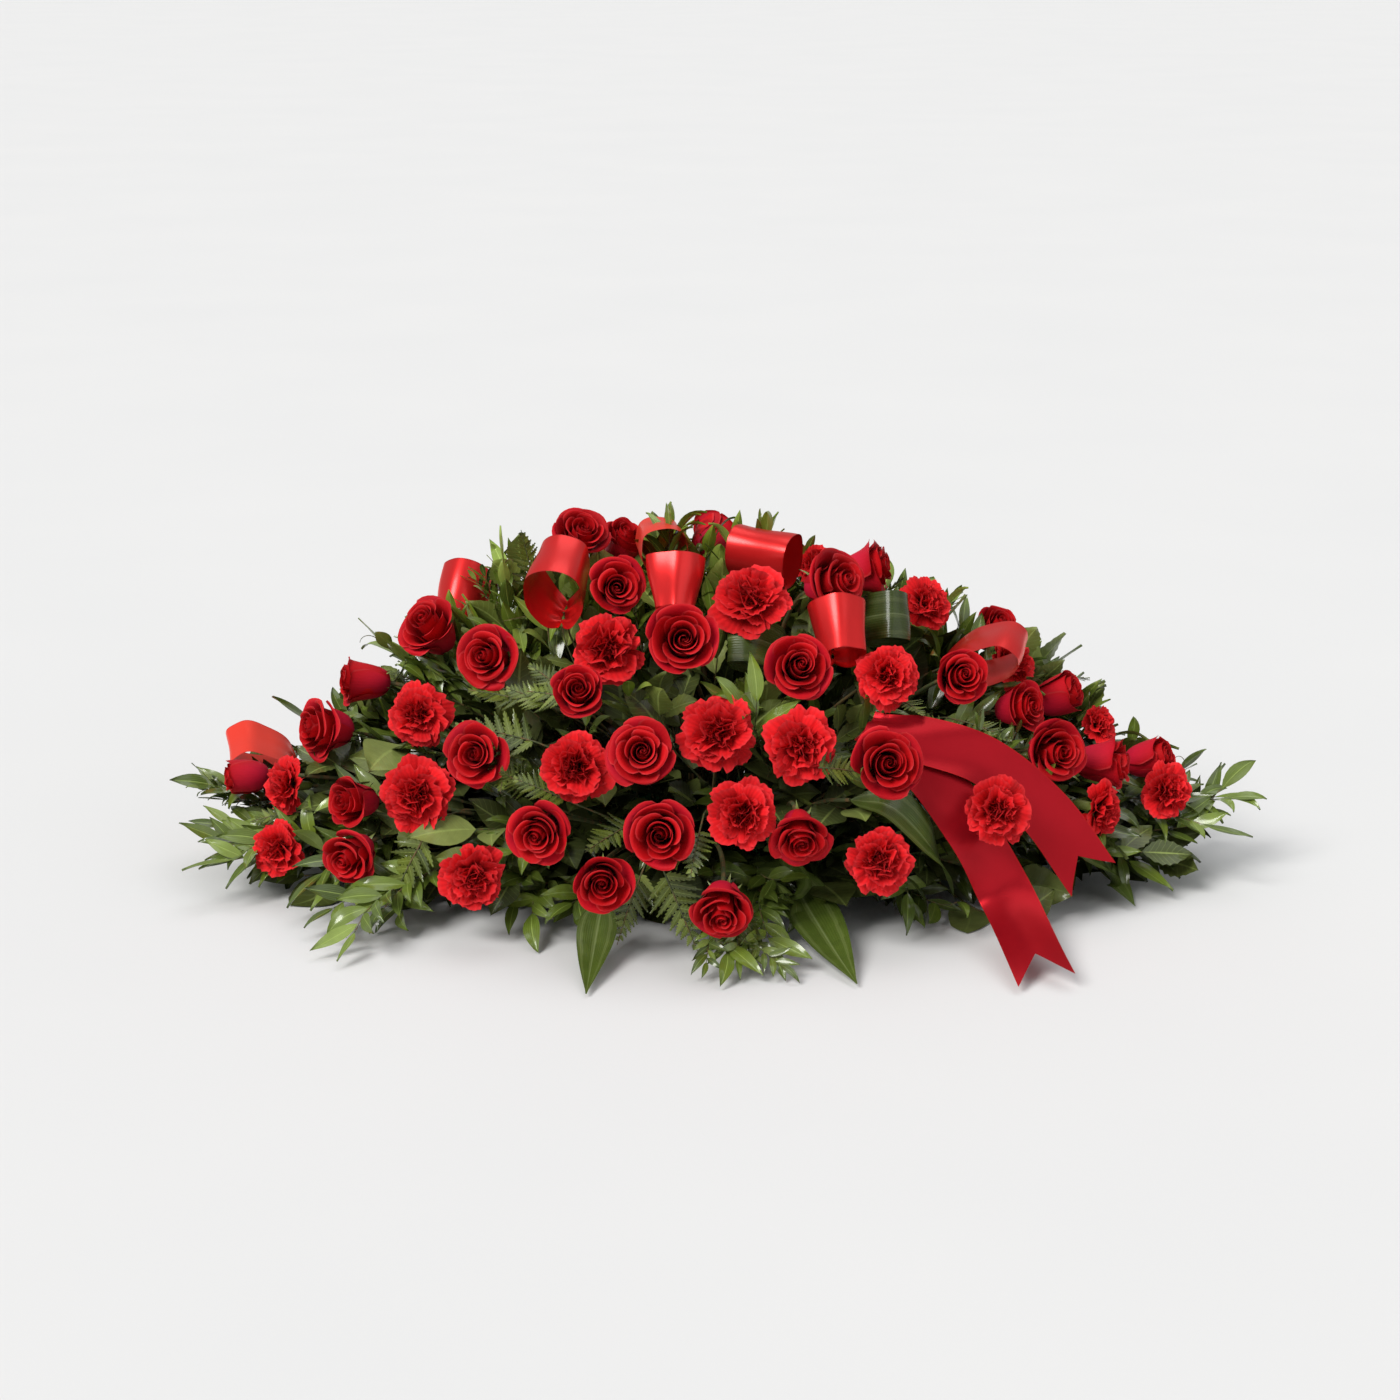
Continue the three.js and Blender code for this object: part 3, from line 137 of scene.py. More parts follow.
CARNATIONS = {
    "carnations_centre_left": ((606, 648, -12, 75, 0, 6), (574, 768, 0, 74, -8, -2)),
    "carnations_crest": ((752, 597, 10, 78, -2, 22), (815, 560, -60, 50, 10, 40)),
    "carnations_centre": ((719, 733, 0, 77, 0, 4), (743, 815, 10, 71, 0, -4)),
    "carnations_right_centre": ((801, 746, 0, 75, 2, 2), (888, 675, 10, 66, 6, 2)),
    "carnations_left": (
        (416, 714, 0, 68, -14, 6), (415, 797, 0, 77, -8, -2), (472, 879, 6, 68, 0, -18),
    ),
    "carnations_left_wing": ((282, 786, 6, 60, -50, 0), (276, 851, 0, 60, -30, -12)),
    "carnations_right_shoulder": ((929, 601, -6, 60, 36, 18), (1016, 662, -60, 62, 46, 10)),
    "carnations_front_right": ((998, 811, 34, 71, 2, -8), (880, 863, 4, 68, 2, -12)),
    "carnations_right_wing": (
        (1106, 812, 4, 62, 56, -14), (1170, 792, 4, 60, 18, 0), (1101, 722, -40, 46, 40, 24),
    ),
    "carnations_back_left": ((-245, 90, 70), (-60, 85, 74)),
    "carnations_back_right": ((100, 80, 72), (275, 75, 70)),
}

# A loop: its place, the way its opening looks, the way it grows from its pick, its length and
# swell, how much wider one rim is, its tone, the depth of its folds, and how high it is kept. On
# the satin a tone above 1 is painted light: it paints the loop lighter and salmon-orange.
Loop = namedtuple(
    "Loop", "place axis rise length swell taper tone folds height", defaults=(0.0, 1.0, 0.0007, 1.0)
)
LOOPS = {
    "ribbon_loop_far_left": (Loop((264, 756, -48), (14, -30), (-62, 14), 78, 42, tone=1.5),),
    "ribbon_loop_left": (Loop((468, 603, -66), (-25, -63), (-30, 20), 76, 54, taper=-0.08),),
    "ribbon_loop_big": (Loop((560, 584, 18), (-12, -42), (-6, 46), 84, 64, taper=0.06),),
    "ribbon_loops_crest": (
        Loop((661, 549, -18), (8, -16), (0, 74), 58, 54, tone=1.5),
        Loop((675, 584, 6), (0, -74), (0, 14), 64, 56, -0.2, 1.0, 0.0014, 0.8),
    ),
    "ribbon_loop_right_of_crest": (Loop((764, 560, -14), (66, -12), (-8, 62), 66, 54),),
    "ribbon_loop_right": (Loop((838, 633, -10), (12, -62), (8, 30), 72, 56, -0.12, 1.0, 0.0012, 0.87),),
    "ribbon_loop_far_right": (Loop((982, 656, -24), (-18, -26), (78, 20), 92, 46),),
}
TI_LOOPS = (
    Loop((881, 620, -34), (4, -78), (52, 10), 62, 44),
    Loop((757, 646, -66), (-10, -70), (-58, -8), 66, 36, tone=1.25),
)
ALL_LOOPS = {**LOOPS, "ti_leaf_loops": TI_LOOPS}

# A loop's line: the gap between its ends, the points that it goes through, and its drop shape.
LOOP_OPEN = 0.004
LOOP_SPOTS = 8
DROP_WIDE = 0.8625
DROP_LOPSIDED = 0.2875

# Tails: the facing at the start and at the end, and the places that the middle line goes through.
TAILS = (
    (
        (20, 30), (4, 4),
        ((868, 724, -34), (920, 738, -2), (985, 762, 14), (1045, 812, 16), (1094, 880, 12)),
    ),
    (
        (10, 35), (4, 10),
        ((866, 730, -46), (918, 760, -12), (965, 822, 0), (1005, 892, -4), (1047, 980, "z", 14)),
    ),
)
TAIL_START = 0.02

# Long leaves: the width, the facing, and the places that the middle line goes through.
TI_LEAVES = {
    "ti_leaf_front_left": (
        (46, (0, 55), ((604, 900, -70), (599, 922, "z", 34), (593, 955, "z", 16), (586, 994, "z", 4))),
    ),
    "ti_leaf_front_right": (
        (62, (0, 50), ((785, 850, -70), (800, 892, "z", 38), (828, 940, "z", 18), (857, 984, "z", 5))),
    ),
    "ti_leaves_right": (
        (60, (20, 40), ((850, 800, -40), (890, 806, -10), (930, 846, -12), (955, 900, "z", 24))),
        (58, (20, 50), ((1062, 810, -60), (1088, 850, -36), (1112, 880, "z", 20), (1135, 906, "z", 5))),
    ),
}
TI_BELLY = 0.44
TI_SLIMNESS = 0.84

# Fronds: the tip's place, the foot's place and the width across the longest leaflets.
FERNS = {
    "fern_front_left": (((386, 918, "z", 10), (424, 838, -26), 74),),
    "fern_front": (((698, 952, "z", 8), (664, 872, -30), 70),),
    "fern_left_centre": (((452, 726, -2), (536, 742, -36), 80), ((500, 770, 0), (528, 790, -36), 60)),
    "fern_crest": (
        ((778, 531, "y", 70), (806, 590, "y", 70), 50), ((905, 577, "y", 50), (862, 616, "y", 50), 50),
        ((521, 530, "y", 10), (536, 590, "y", 20), 50),
    ),
    "fern_back": (((-130, 40), (-100, 110), 80), ((230, 40), (215, 110), 80)),
}

SMALL_FERNS = (
    ((505, 688, 0), (552, 706, -30), 58), ((528, 664, -4), (562, 690, -30), 46),
    ((512, 778, 2), (566, 800, -30), 62), ((617, 945, "z", 12), (642, 872, -30), 62),
    ((466, 690, -6), (520, 700, -34), 52), ((690, 880, 4), (700, 830, -30), 50),
    ((1012, 742, 10), (966, 722, -30), 46), ((924, 716, 4), (900, 700, -30), 40),
    ((250, 822, 0), (300, 812, -30), 48),
)

# Leafy stems: the tip's place, and the stem's heading there in degrees to the right and upwards.
RUSCUS = {
    "ruscus_left_wing": (
        (183, 782, "y", -20, -80, 8), (186, 826, "y", -70, -75, 0), (196, 868, "y", -150, -60, -10),
    ),
    "ruscus_right_wing": (
        (1260, 800, "y", -50, 80, 0), (1206, 748, "y", 20, 60, 40), (1236, 838, "y", -110, 60, -20),
    ),
    "ruscus_crest": ((671, 499, "y", 40, 10, 80), (772, 512, "y", 0, 25, 62)),
    "ruscus_left_shoulder": (
        (503, 529, "y", 10, -10, 80), (354, 617, "y", 0, -60, 40), (284, 706, "y", -10, -70, 30),
    ),
    "ruscus_right_shoulder": (
        (964, 592, "y", 10, 60, 40), (1058, 658, "y", -30, 70, 40), (1114, 702, "y", -10, 70, 20),
    ),
    "ruscus_front_left": (
        (300, 900, "z", 24, -40, -40), (345, 962, "z", 8, -10, -40), (404, 934, "z", 10, 10, -30),
    ),
    "ruscus_front": ((508, 930, "z", 10, -10, -40), (536, 942, "z", 8, 10, -40)),
    "ruscus_front_right": (
        (728, 982, "z", 6, 0, -40), (783, 976, "z", 6, 20, -40), (918, 926, "z", 12, 20, -40),
    ),
    "ruscus_centre": ((757, 664, 24, 0, 70), (722, 690, 16, -50, 40)),
    "ruscus_back": (
        (-430, 70, -120, 10), (-190, 60, -170, 0), (420, 60, 120, 10), (-230, 215, -150, 50),
        (150, 235, 150, 50),
    ),
}
SALAL = {
    "salal_left": ((372, 766, -4, -30, -20), (300, 806, -12, -60, 0), (505, 700, -20, -10, 30)),
    "salal_front": ((832, 926, "z", 22, -10, -30), (870, 822, -14, 20, -10), (655, 700, -16, 0, 20)),
    "salal_back": ((-20, 160, 180, 40), (250, 60, 160, 10)),
}

# Single sprigs that close the gaps: the tip's place, the heading and the kind of leaf.
SPRIGS = (
    (671, 496, "y", 0, 14, 80, "slim"), (704, 509, "y", 10, 58, 36, "slim"),
    (741, 508, "y", 6, 24, 66, "slim"), (761, 512, "y", 0, 20, 74, "small"),
    (196, 768, "y", -20, -60, 40, "small"), (186, 786, "y", -30, -75, 15, "small"),
    (206, 800, "y", -40, -70, 0, "small"), (218, 782, "y", -20, -50, 30, "small"),
    (976, 712, 26, -20, 50, "small"), (1000, 722, 24, 10, 60, "small"),
    (1020, 738, 20, 50, 40, "small"), (1050, 768, 16, 40, 50, "small"),
    (1022, 716, 18, 30, 60, "small"), (1068, 800, 14, 60, 20, "small"),
    (714, 962, "z", 14, -40, -40, "small"), (738, 976, "z", 8, 0, -50, "small"),
    (764, 968, "z", 12, 40, -40, "small"), (796, 976, "z", 8, 60, -30, "small"),
    (704, 980, "z", 6, -10, -50, "small"), (326, 902, "z", 22, -30, -50, "slim"),
    (366, 936, "z", 16, -30, -40, "slim"), (304, 930, "z", 12, -50, -30, "slim"),
    (905, 926, "z", 16, -10, -50, "slim"), (196, 846, "y", -110, -80, -5, "slim"),
    (190, 826, "y", -90, -70, 25, "slim"), (214, 866, "y", -130, -70, -25, "slim"),
    (1222, 770, "y", 0, 60, 60, "slim"), (1246, 760, "y", -30, 70, 50, "slim"),
    (1226, 820, "y", -80, 80, 10, "slim"), (1140, 716, "y", 0, 30, 60, "slim"),
    (1096, 690, "y", 0, 70, 20, "slim"), (1026, 656, "y", -40, 60, 40, "slim"),
    (700, 512, "y", 40, 60, 40, "slim"), (735, 516, "y", 30, 70, 50, "slim"),
    (514, 536, "y", 20, -30, 60, "toothed"), (494, 566, "y", 10, -50, 40, "toothed"),
    (540, 560, "y", 60, -20, 50, "slim"), (566, 600, "y", 20, 10, 40, "slim"),
    (552, 588, "y", 10, -20, 50, "toothed"), (590, 588, "y", 30, 10, 60, "slim"),
    (600, 560, "y", 50, 0, 70, "toothed"), (612, 566, "y", 30, 20, 60, "slim"),
    (650, 556, "y", 40, -20, 60, "slim"), (668, 552, "y", 50, 10, 70, "toothed"),
    (676, 562, "y", 40, 30, 60, "slim"), (660, 566, "y", 30, 0, 60, "slim"),
    (716, 570, "y", 10, 10, 60, "slim"), (726, 590, "y", 0, -10, 50, "toothed"),
    (700, 600, "y", 10, 10, 40, "slim"), (820, 610, "y", 10, 20, 40, "slim"),
    (806, 590, "y", 30, 0, 60, "toothed"), (900, 640, "y", -20, 20, 50, "toothed"),
    (470, 640, "y", -10, -40, 40, "toothed"), (452, 610, "y", 10, -50, 40, "slim"),
    (400, 650, "y", 10, -50, 40, "slim"), (250, 762, "y", 0, -40, 40, "slim"),
    (270, 770, "y", 0, -20, 50, "toothed"), (300, 760, "y", 0, -30, 40, "slim"),
    (940, 640, "y", 20, 20, 50, "toothed"), (970, 650, "y", 20, 30, 50, "slim"),
    (646, 546, "y", 50, -10, 60, "slim"), (640, 562, "y", 40, -20, 60, "toothed"),
    (642, 600, "y", 0, 10, 50, "slim"), (574, 590, "y", 10, 10, 50, "slim"),
    (546, 602, "y", 0, -20, 40, "slim"), (708, 580, "y", 0, -10, 60, "slim"),
    (728, 570, "y", 10, 10, 60, "toothed"), (739, 678, -24, 0, 50, "slim"),
    (918, 640, "y", 10, 10, 50, "slim"), (932, 638, "y", 10, 40, 40, "toothed"),
    (856, 628, "y", 10, 10, 50, "slim"), (318, 752, "y", -10, -30, 40, "toothed"),
    (350, 752, "y", -20, -30, 30, "slim"), (594, 554, "y", 40, -10, 60, "slim"),
    (606, 560, "y", 30, -20, 60, "toothed"), (648, 530, "y", 50, -20, 70, "slim"),
    (660, 528, "y", 60, 0, 70, "toothed"), (672, 532, "y", 50, 20, 60, "slim"),
    (573, 578, "y", 20, 0, 60, "toothed"), (582, 584, "y", 40, 20, 60, "slim"),
    (522, 600, "y", 20, -20, 60, "slim"), (514, 618, "y", 10, -40, 50, "toothed"),
    (654, 690, -40, -10, 40, "toothed"), (769, 688, -40, 10, 40, "toothed"),
    (860, 702, -40, 10, 40, "toothed"), (539, 656, -24, -10, 40, "toothed"),
    (361, 725, -14, -40, 30, "slim"), (260, 752, "y", 90, -30, 50, "toothed"),
    (248, 756, "y", 80, -40, 40, "slim"), (659, 678, -50, 0, 40, "toothed"),
    (596, 538, "y", 50, 0, 70, "slim"), (712, 546, "y", 30, 10, 70, "slim"),
    (722, 552, "y", 20, 20, 60, "slim"), (517, 578, "y", 30, -10, 60, "slim"),
    (554, 562, "y", 40, 0, 60, "toothed"), (566, 566, "y", 30, 10, 60, "slim"),
    (992, 640, "y", 40, 10, 60, "slim"), (868, 578, "y", 40, 0, 60, "toothed"),
    (357, 692, "y", 10, -20, 50, "toothed"), (368, 698, "y", 20, -10, 50, "slim"),
    (380, 690, "y", 20, -10, 50, "toothed"), (598, 556, "y", 60, 0, 70, "toothed"),
    (704, 566, "y", 30, 10, 60, "toothed"), (717, 564, "y", 30, 20, 60, "slim"),
    (722, 628, -30, 10, 50, "toothed"), (521, 596, "y", 40, -10, 60, "toothed"),
    (863, 704, -30, 0, 50, "slim"), (988, 654, "y", 30, 10, 60, "toothed"),
    (1070, 722, "y", 10, 20, 50, "toothed"), (294, 764, "y", 20, -20, 50, "toothed"),
    (358, 744, "y", 0, -20, 50, "toothed"), (371, 712, "y", 10, -20, 50, "toothed"),
    (468, 714, "y", 0, -10, 50, "toothed"), (233, 806, "y", -20, -50, 20, "slim"),
    (561, 640, -40, -10, 50, "toothed"), (839, 700, -40, 0, 50, "toothed"),
    (449, 590, "y", 20, -20, 70, "slim"), (466, 566, "y", 40, -50, 50, "small"),
    (480, 560, "y", 30, -30, 60, "small"), (494, 546, "y", 30, -30, 60, "small"),
    (510, 536, "y", 40, -10, 70, "small"), (498, 572, "y", 10, -20, 60, "small"),
    (512, 560, "y", 20, 0, 60, "small"), (506, 592, "y", 0, -20, 50, "small"),
    (518, 612, "y", -10, -10, 50, "small"), (528, 546, "y", 50, 10, 70, "small"),
    (812, 540, "y", 40, 40, 60, "small"), (962, 588, "y", 20, 40, 40, "small"),
)

# How a kind of leaf grows: its length and width, where it is broadest, how far it leans from the
# stem, how it arches, folds and waves, its teeth, the gap between leaves on a stem, the stem's bare
# share and radius, the rows of a blade, and how much painted light it takes (below 1 its leaves are
# painted darker).
Leaf = namedtuple(
    "Leaf", "length width belly lean arch fold wave teeth gap bare stem rows light", defaults=(1,)
)
RUSCUS_LEAF = Leaf(0.05, 0.0158, 0.42, 44, 0.12, 0.22, 0.0, 0, 0.0125, 0.42, 0.001, 8)
SALAL_LEAF = Leaf(0.07, 0.043, 0.42, 50, 0.08, 0.14, 0.05, 0, 0.03, 0.4, 0.0016, 10)
SPRIG_LEAF = Leaf(0.026, 0.0072, 0.4, 40, 0.12, 0.2, 0.0, 0, 0.0055, 0.45, 0.0007, 6, 0.7)
ROSE_LEAF = Leaf(0.05, 0.032, 0.45, 52, 0.1, 0.16, 0.03, 0.07, 0.024, 0.5, 0.0013, 14)


# Drawing and placing

# The step that a line's heading is taken over, and the steps that spread greens evenly.
AHEAD_STEP = 0.004
ACROSS_STEP = 0.618034
TURN_STEP = 0.754878

# How far from the middle fronds and sprigs stand, the share of it on the ridge, and how low.
FROND_SPAN = 0.38
SPRIG_SPAN = 0.5
RIDGE_SHARE = 0.84
LAYER_FLOOR = 0.012


class Draw:
    """A seeded generator: the same one that the part's own leaves are sized by."""

    def __init__(self, seed):
        self.state = (7919 + seed * 104729) % 2147483647

    def __call__(self, low=0.0, high=1.0):
        self.state = self.state * 48271 % 2147483647
        return low + (high - low) * self.state / 2147483647


def clamp(value, low, high):
    return max(low, min(high, value))


def blend(a, b, share):
    return a + (b - a) * share


def ease(low, high, value):
    """0 below low, 1 above high and a smooth rise between them."""
    share = clamp((value - low) / (high - low), 0, 1)
    return share * share * (3 - 2 * share)


def sight_line(across, down):
    line = VIEW_FORWARD * EYE_DISTANCE
    line = line + VIEW_RIGHT * ((across - GRID_STEPS / 2) * STEP_SIZE)
    line = line + VIEW_UP * ((GRID_STEPS / 2 - down) * STEP_SIZE)
    return line.normalized()


def mound_height(x):
    fall = (abs(x) / HALF_LENGTH) ** CREST_FALL
    return max(WING_END + (CREST - WING_END) * (1 - fall), LEAST_HEIGHT)


def mound_depth(x, y):
    fall = (abs(x) / PLAN_LENGTH) ** PLAN_FALL
    return max((FRONT if y < 0 else BACK) * (1 - fall), LEAST_DEPTH)


def fullness(point):
    """1 on the mound's surface, less inside it and more outside."""
    depth_share = abs(point.y) / mound_depth(point.x, point.y)
    height_share = max(point.z, 0) / mound_height(point.x)
    return depth_share**ROUNDNESS + height_share**ROUNDNESS


def mound_normal(point):
    here = fullness(point)
    ways = (VIEW_RIGHT, Vector((0, 1, 0)), UP)
    return Vector([fullness(point + way * NORMAL_STEP) - here for way in ways]).normalized()


def skyward(point, share=0.5):
    """The way out of the mound at a point, turned upwards by a share."""
    return (mound_normal(point) + UP * share).normalized()


def on_mound(across, down, nearer):
    """Where the view first meets the mound, moved towards the eye by so many millimetres."""
    line = sight_line(across, down)
    best, least = None, math.inf
    for k in range(round(2 * SIGHT_REACH / SIGHT_STEP)):
        point = EYE + line * (EYE_DISTANCE - SIGHT_REACH + k * SIGHT_STEP)
        share = fullness(point)
        if share < least:
            best, least = point, share
        if share <= 1:
            break
    return best - line * (nearer * MM)


def on_plane(across, down, axis, level):
    """Where the view meets the upright plane of a "y" or the level one of a "z"."""
    line = sight_line(across, down)
    k = "xyz".index(axis)
    return EYE + line * ((level * MM - EYE[k]) / line[k])


def on_back(x, z):
    x, z = x * MM, z * MM
    share = (z / mound_height(x)) ** ROUNDNESS
    return Vector((x, mound_depth(x, 1) * (1 - share) ** (1 / ROUNDNESS), z))


def on_layer(x, turn, share):
    """A point inside the mound, where its fullness is `share`."""
    out, up = math.cos(turn), math.sin(turn)
    radius = (share / (abs(out) ** ROUNDNESS + up**ROUNDNESS)) ** (1 / ROUNDNESS)
    y = -out * radius * mound_depth(x, -out)
    return Vector((x, y, max(LAYER_FLOOR, up * radius * mound_height(x))))


def place_of(place):
    """The point that a row of a table names, by how many numbers it has."""
    if len(place) == 2:
        return on_back(*place)
    return on_plane(*place) if len(place) == 4 else on_mound(*place)


def facing(turn, tip):
    """A direction given as the view shows it: degrees to the right, and degrees upwards."""
    turn, tip = math.radians(turn), math.radians(tip)
    flat = math.cos(tip)
    side = VIEW_RIGHT * (flat * math.sin(turn)) + VIEW_UP * math.sin(tip)
    return side - VIEW_FORWARD * (flat * math.cos(turn))


def smooth_line(points):
    """A smooth line through all the points, as a function of 0 to 1."""
    points = [points[0] * 2 - points[1], *points, points[-1] * 2 - points[-2]]
    last = len(points) - 3

    def spot(share):
        at = clamp(share, 0, 1) * last
        k = min(int(at), last - 1)
        weight = at - k
        a, b, c, d = points[k : k + 4]
        gaps = [max((q - p).length ** 0.5, 1e-6) for p, q in ((a, b), (b, c), (c, d))]
        leave = (b - a) / gaps[0] - (c - a) / (gaps[0] + gaps[1]) + (c - b) / gaps[1]
        arrive = (c - b) / gaps[1] - (d - b) / (gaps[1] + gaps[2]) + (d - c) / gaps[2]
        leave, arrive = leave * gaps[1], arrive * gaps[1]
        square, cube = weight * weight, weight**3
        start = b * (2 * cube - 3 * square + 1) + leave * (cube - 2 * square + weight)
        return start + c * (3 * square - 2 * cube) + arrive * (cube - square)

    return spot


def line_through(places):
    return smooth_line([place_of(place) for place in places])


def bent_line(start, middle, end):
    """A line that bends towards one point on its way, as a function of 0 to 1."""

    def spot(t):
        return start * ((1 - t) ** 2) + middle * (2 * t * (1 - t)) + end * (t * t)

    return spot


def bowed_line(start, leave, arrive, end):
    """A line that sets out towards `leave` and comes in from `arrive`, as a function of 0 to 1."""

    def spot(t):
        s = 1 - t
        near = start * s**3 + leave * (3 * s * s * t)
        return near + arrive * (3 * s * t * t) + end * t**3

    return spot


def ahead_of(line, share):
    low, high = max(share - AHEAD_STEP, 0), min(share + AHEAD_STEP, 1)
    return (line(high) - line(low)).normalized()


def line_length(line, count=80):
    points = sampled(line, count)
    return sum((b - a).length for a, b in zip(points, points[1:]))


def sampled(line, count, start=0.0, end=1.0):
    return [line(blend(start, end, k / (count - 1))) for k in range(count)]


def spread(k, step, start):
    """The k-th of a row of numbers that fill 0 to 1 evenly."""
    return (k * step + start) % 1


def heart_below(x):
    """The point in the foam that the greens at x grow from."""
    return Vector((x * HEART_SHARE, 0, HEART_HEIGHT))


def middle_of(points):
    return sum(points, Vector()) / len(points)


# Where the blooms stand, and the foam's holes that their stems come from.

Head = namedtuple("Head", "middle axis base width")
ROSE_MIDDLE = 0.45
CARNATION_MIDDLE = 0.48

# How leaves keep clear: the balls round a bloom and before its face as shares of its width, the
# ball round a loop, and the balls along a tail and before a long leaf, which start that far along.
BLOOM_REACH = 0.42
FACE_OUT = 0.45
FACE_REACH = 0.36
LOOP_REACH = 0.034
TAIL_REACH = 0.027
TAIL_BALLS = 16
TAIL_CLEAR_FROM = 0.1
BLADE_REACH = 0.4
BLADE_BALLS = 6
BLADE_CLEAR_FROM = 0.5

# How a stem's hole moves on when its spot is taken: tries, turn and growth of the winding.
WINDING_SPOTS = 160
WINDING_TURN = 2.4
WINDING_STEP = 0.0032


def head_of(spec, middle_share):
    """A bloom that faces as its row says, or out of the mound where the row doesn't say it."""
    if len(spec) == 3:
        middle, width = on_back(*spec[:2]), spec[2] * MM
        axis = skyward(middle, 0.25)
    else:
        middle, width, axis = on_mound(*spec[:3]), spec[3] * MM, facing(*spec[4:])
    return Head(middle, axis, middle - axis * (middle_share * width), width)


def loop_frame(loop):
    """A loop's line, the way its opening looks, the way it rises, and the point it rises from."""
    middle, axis, rise = on_mound(*loop.place), facing(*loop.axis), facing(*loop.rise)
    rise = (rise - axis * rise.dot(axis)).normalized()
    across = axis.cross(rise)
    length, swell = loop.length * MM, loop.swell * MM
    pinch = middle - rise * (length / 2)
    points = []
    for k in range(LOOP_SPOTS + 1):
        angle = 2 * math.pi * k / LOOP_SPOTS
        share = math.sin(angle) * (DROP_WIDE - DROP_LOPSIDED * math.cos(angle))
        out = length * (1 - math.cos(angle)) / 2
        points.append(pinch + rise * out + across * (swell / 2 * share))
    return smooth_line(points), axis, rise, pinch


def foam_entry(target):
    """The spot of the foam's top or side that faces the target, and the way out of it."""
    heart = Vector((clamp(target.x * HEART_SHARE, -HEART_REACH, HEART_REACH), 0, HEART_HEIGHT))
    way = Vector([part or 1e-9 for part in target - heart])
    faces = (
        (UP, (FOAM_BASE + FOAM_HEIGHT - heart.z) / way.z),
        (Vector((0, math.copysign(1, way.y), 0)), FOAM_WIDTH / 2 / abs(way.y)),
        (Vector((math.copysign(1, way.x), 0, 0)), (FOAM_END - abs(heart.x)) / abs(way.x)),
    )
    normal, reach = min((face for face in faces if face[1] > 0), key=lambda face: face[1])
    return heart + way * reach, normal


def kept_on_face(point, normal):
    spot = point.copy()
    if not normal.x:
        seam = FOAM_SEAM / 2 + PEG_EDGE
        spot.x = clamp(spot.x, PEG_EDGE - FOAM_END, FOAM_END - PEG_EDGE)
        if abs(spot.x) < seam:
            spot.x = math.copysign(seam, spot.x)
    if not normal.y:
        spot.y = clamp(spot.y, PEG_EDGE - FOAM_WIDTH / 2, FOAM_WIDTH / 2 - PEG_EDGE)
    if not normal.z:
        spot.z = clamp(spot.z, TRAY_WALL + PEG_EDGE, FOAM_BASE + FOAM_HEIGHT - PEG_EDGE)
    return spot


def peg_gap(one, other):
    """The least distance between two pegs in the foam."""
    depths = [PEG_DEPTH * k / 4 for k in range(5)]
    ours, theirs = [[point - normal * depth for depth in depths] for point, normal in (one, other)]
    return min((a - b).length for a in ours for b in theirs)


def free_entry(taken, target):
    """The first spot, winding outwards over the face that faces the target, clear of the others."""
    start, normal = foam_entry(target)
    across = Vector((0, 1, 0)) if normal.x else VIEW_RIGHT
    over = normal.cross(across)
    middle, height = (FOAM_SEAM + FOAM_LENGTH) / 2, FOAM_BASE + PRONG_HEIGHT / 2
    offs = (-PRONG_FROM_CENTRE, PRONG_FROM_CENTRE)
    prongs = [Vector((side * middle + off, 0, height)) for side in (-1, 1) for off in offs]
    for k in range(WINDING_SPOTS):
        angle, radius = k * WINDING_TURN, WINDING_STEP * math.sqrt(k)
        moved = start + across * (radius * math.cos(angle)) + over * (radius * math.sin(angle))
        entry = (kept_on_face(moved, normal), normal)
        foot = entry[0] - normal * PEG_DEPTH
        if any((prong - foot).length <= PRONG_HEIGHT for prong in prongs):
            continue
        if all(peg_gap(entry, other) > PEG_SPACING for other in taken):
            taken.append(entry)
            return entry
    raise RuntimeError("no free spot in the foam")


def heads_of(groups, middle_share):
    return {name: [head_of(spec, middle_share) for spec in specs] for name, specs in groups.items()}


ROSE_HEADS = heads_of(ROSES, ROSE_MIDDLE)
CARNATION_HEADS = heads_of(CARNATIONS, CARNATION_MIDDLE)
ALL_HEADS = sum([*ROSE_HEADS.values(), *CARNATION_HEADS.values()], [])


def all_entries():
    """Every node's hole in the foam, in the order that the part gives them out."""
    targets = {}
    for name, loops in ALL_LOOPS.items():
        targets[name] = middle_of([loop_frame(loop)[3] for loop in loops])
    targets["ribbon_tails"] = line_through(TAILS[0][2])(TAIL_START)
    for name, heads in (*ROSE_HEADS.items(), *CARNATION_HEADS.items()):
        targets[name] = middle_of([head.base for head in heads])
    for name, leaves in TI_LEAVES.items():
        targets[name] = place_of(leaves[0][2][0])
    for name, fronds in FERNS.items():
        targets[name] = middle_of([place_of(foot) for _, foot, _ in fronds])
    for name, stems in (*RUSCUS.items(), *SALAL.items()):
        targets[name] = middle_of([place_of(place) for *place, _, _ in stems])
    taken = []
    return {name: free_entry(taken, target) for name, target in targets.items()}


ENTRIES = all_entries()


def kept_clear():
    """Balls round the flower heads, the loops and the tails, and in front of the ti leaves' ends."""
    balls = [(head.middle, BLOOM_REACH * head.width) for head in ALL_HEADS]
    for head in ALL_HEADS:
        balls.append((head.middle + head.axis * (FACE_OUT * head.width), FACE_REACH * head.width))
    for loop in [loop for loops in ALL_LOOPS.values() for loop in loops]:
        _, _, rise, pinch = loop_frame(loop)
        balls.append((pinch + rise * (loop.length * MM / 2), LOOP_REACH))
    for _, _, places in TAILS:
        spots = sampled(line_through(places), TAIL_BALLS, TAIL_CLEAR_FROM)
        balls += [(spot, TAIL_REACH) for spot in spots]
    for width, _, places in [leaf for leaves in TI_LEAVES.values() for leaf in leaves]:
        reach = width * MM * BLADE_REACH
        spots = sampled(line_through(places), BLADE_BALLS, BLADE_CLEAR_FROM)
        balls += [(spot - VIEW_FORWARD * reach, reach) for spot in spots]
    return balls


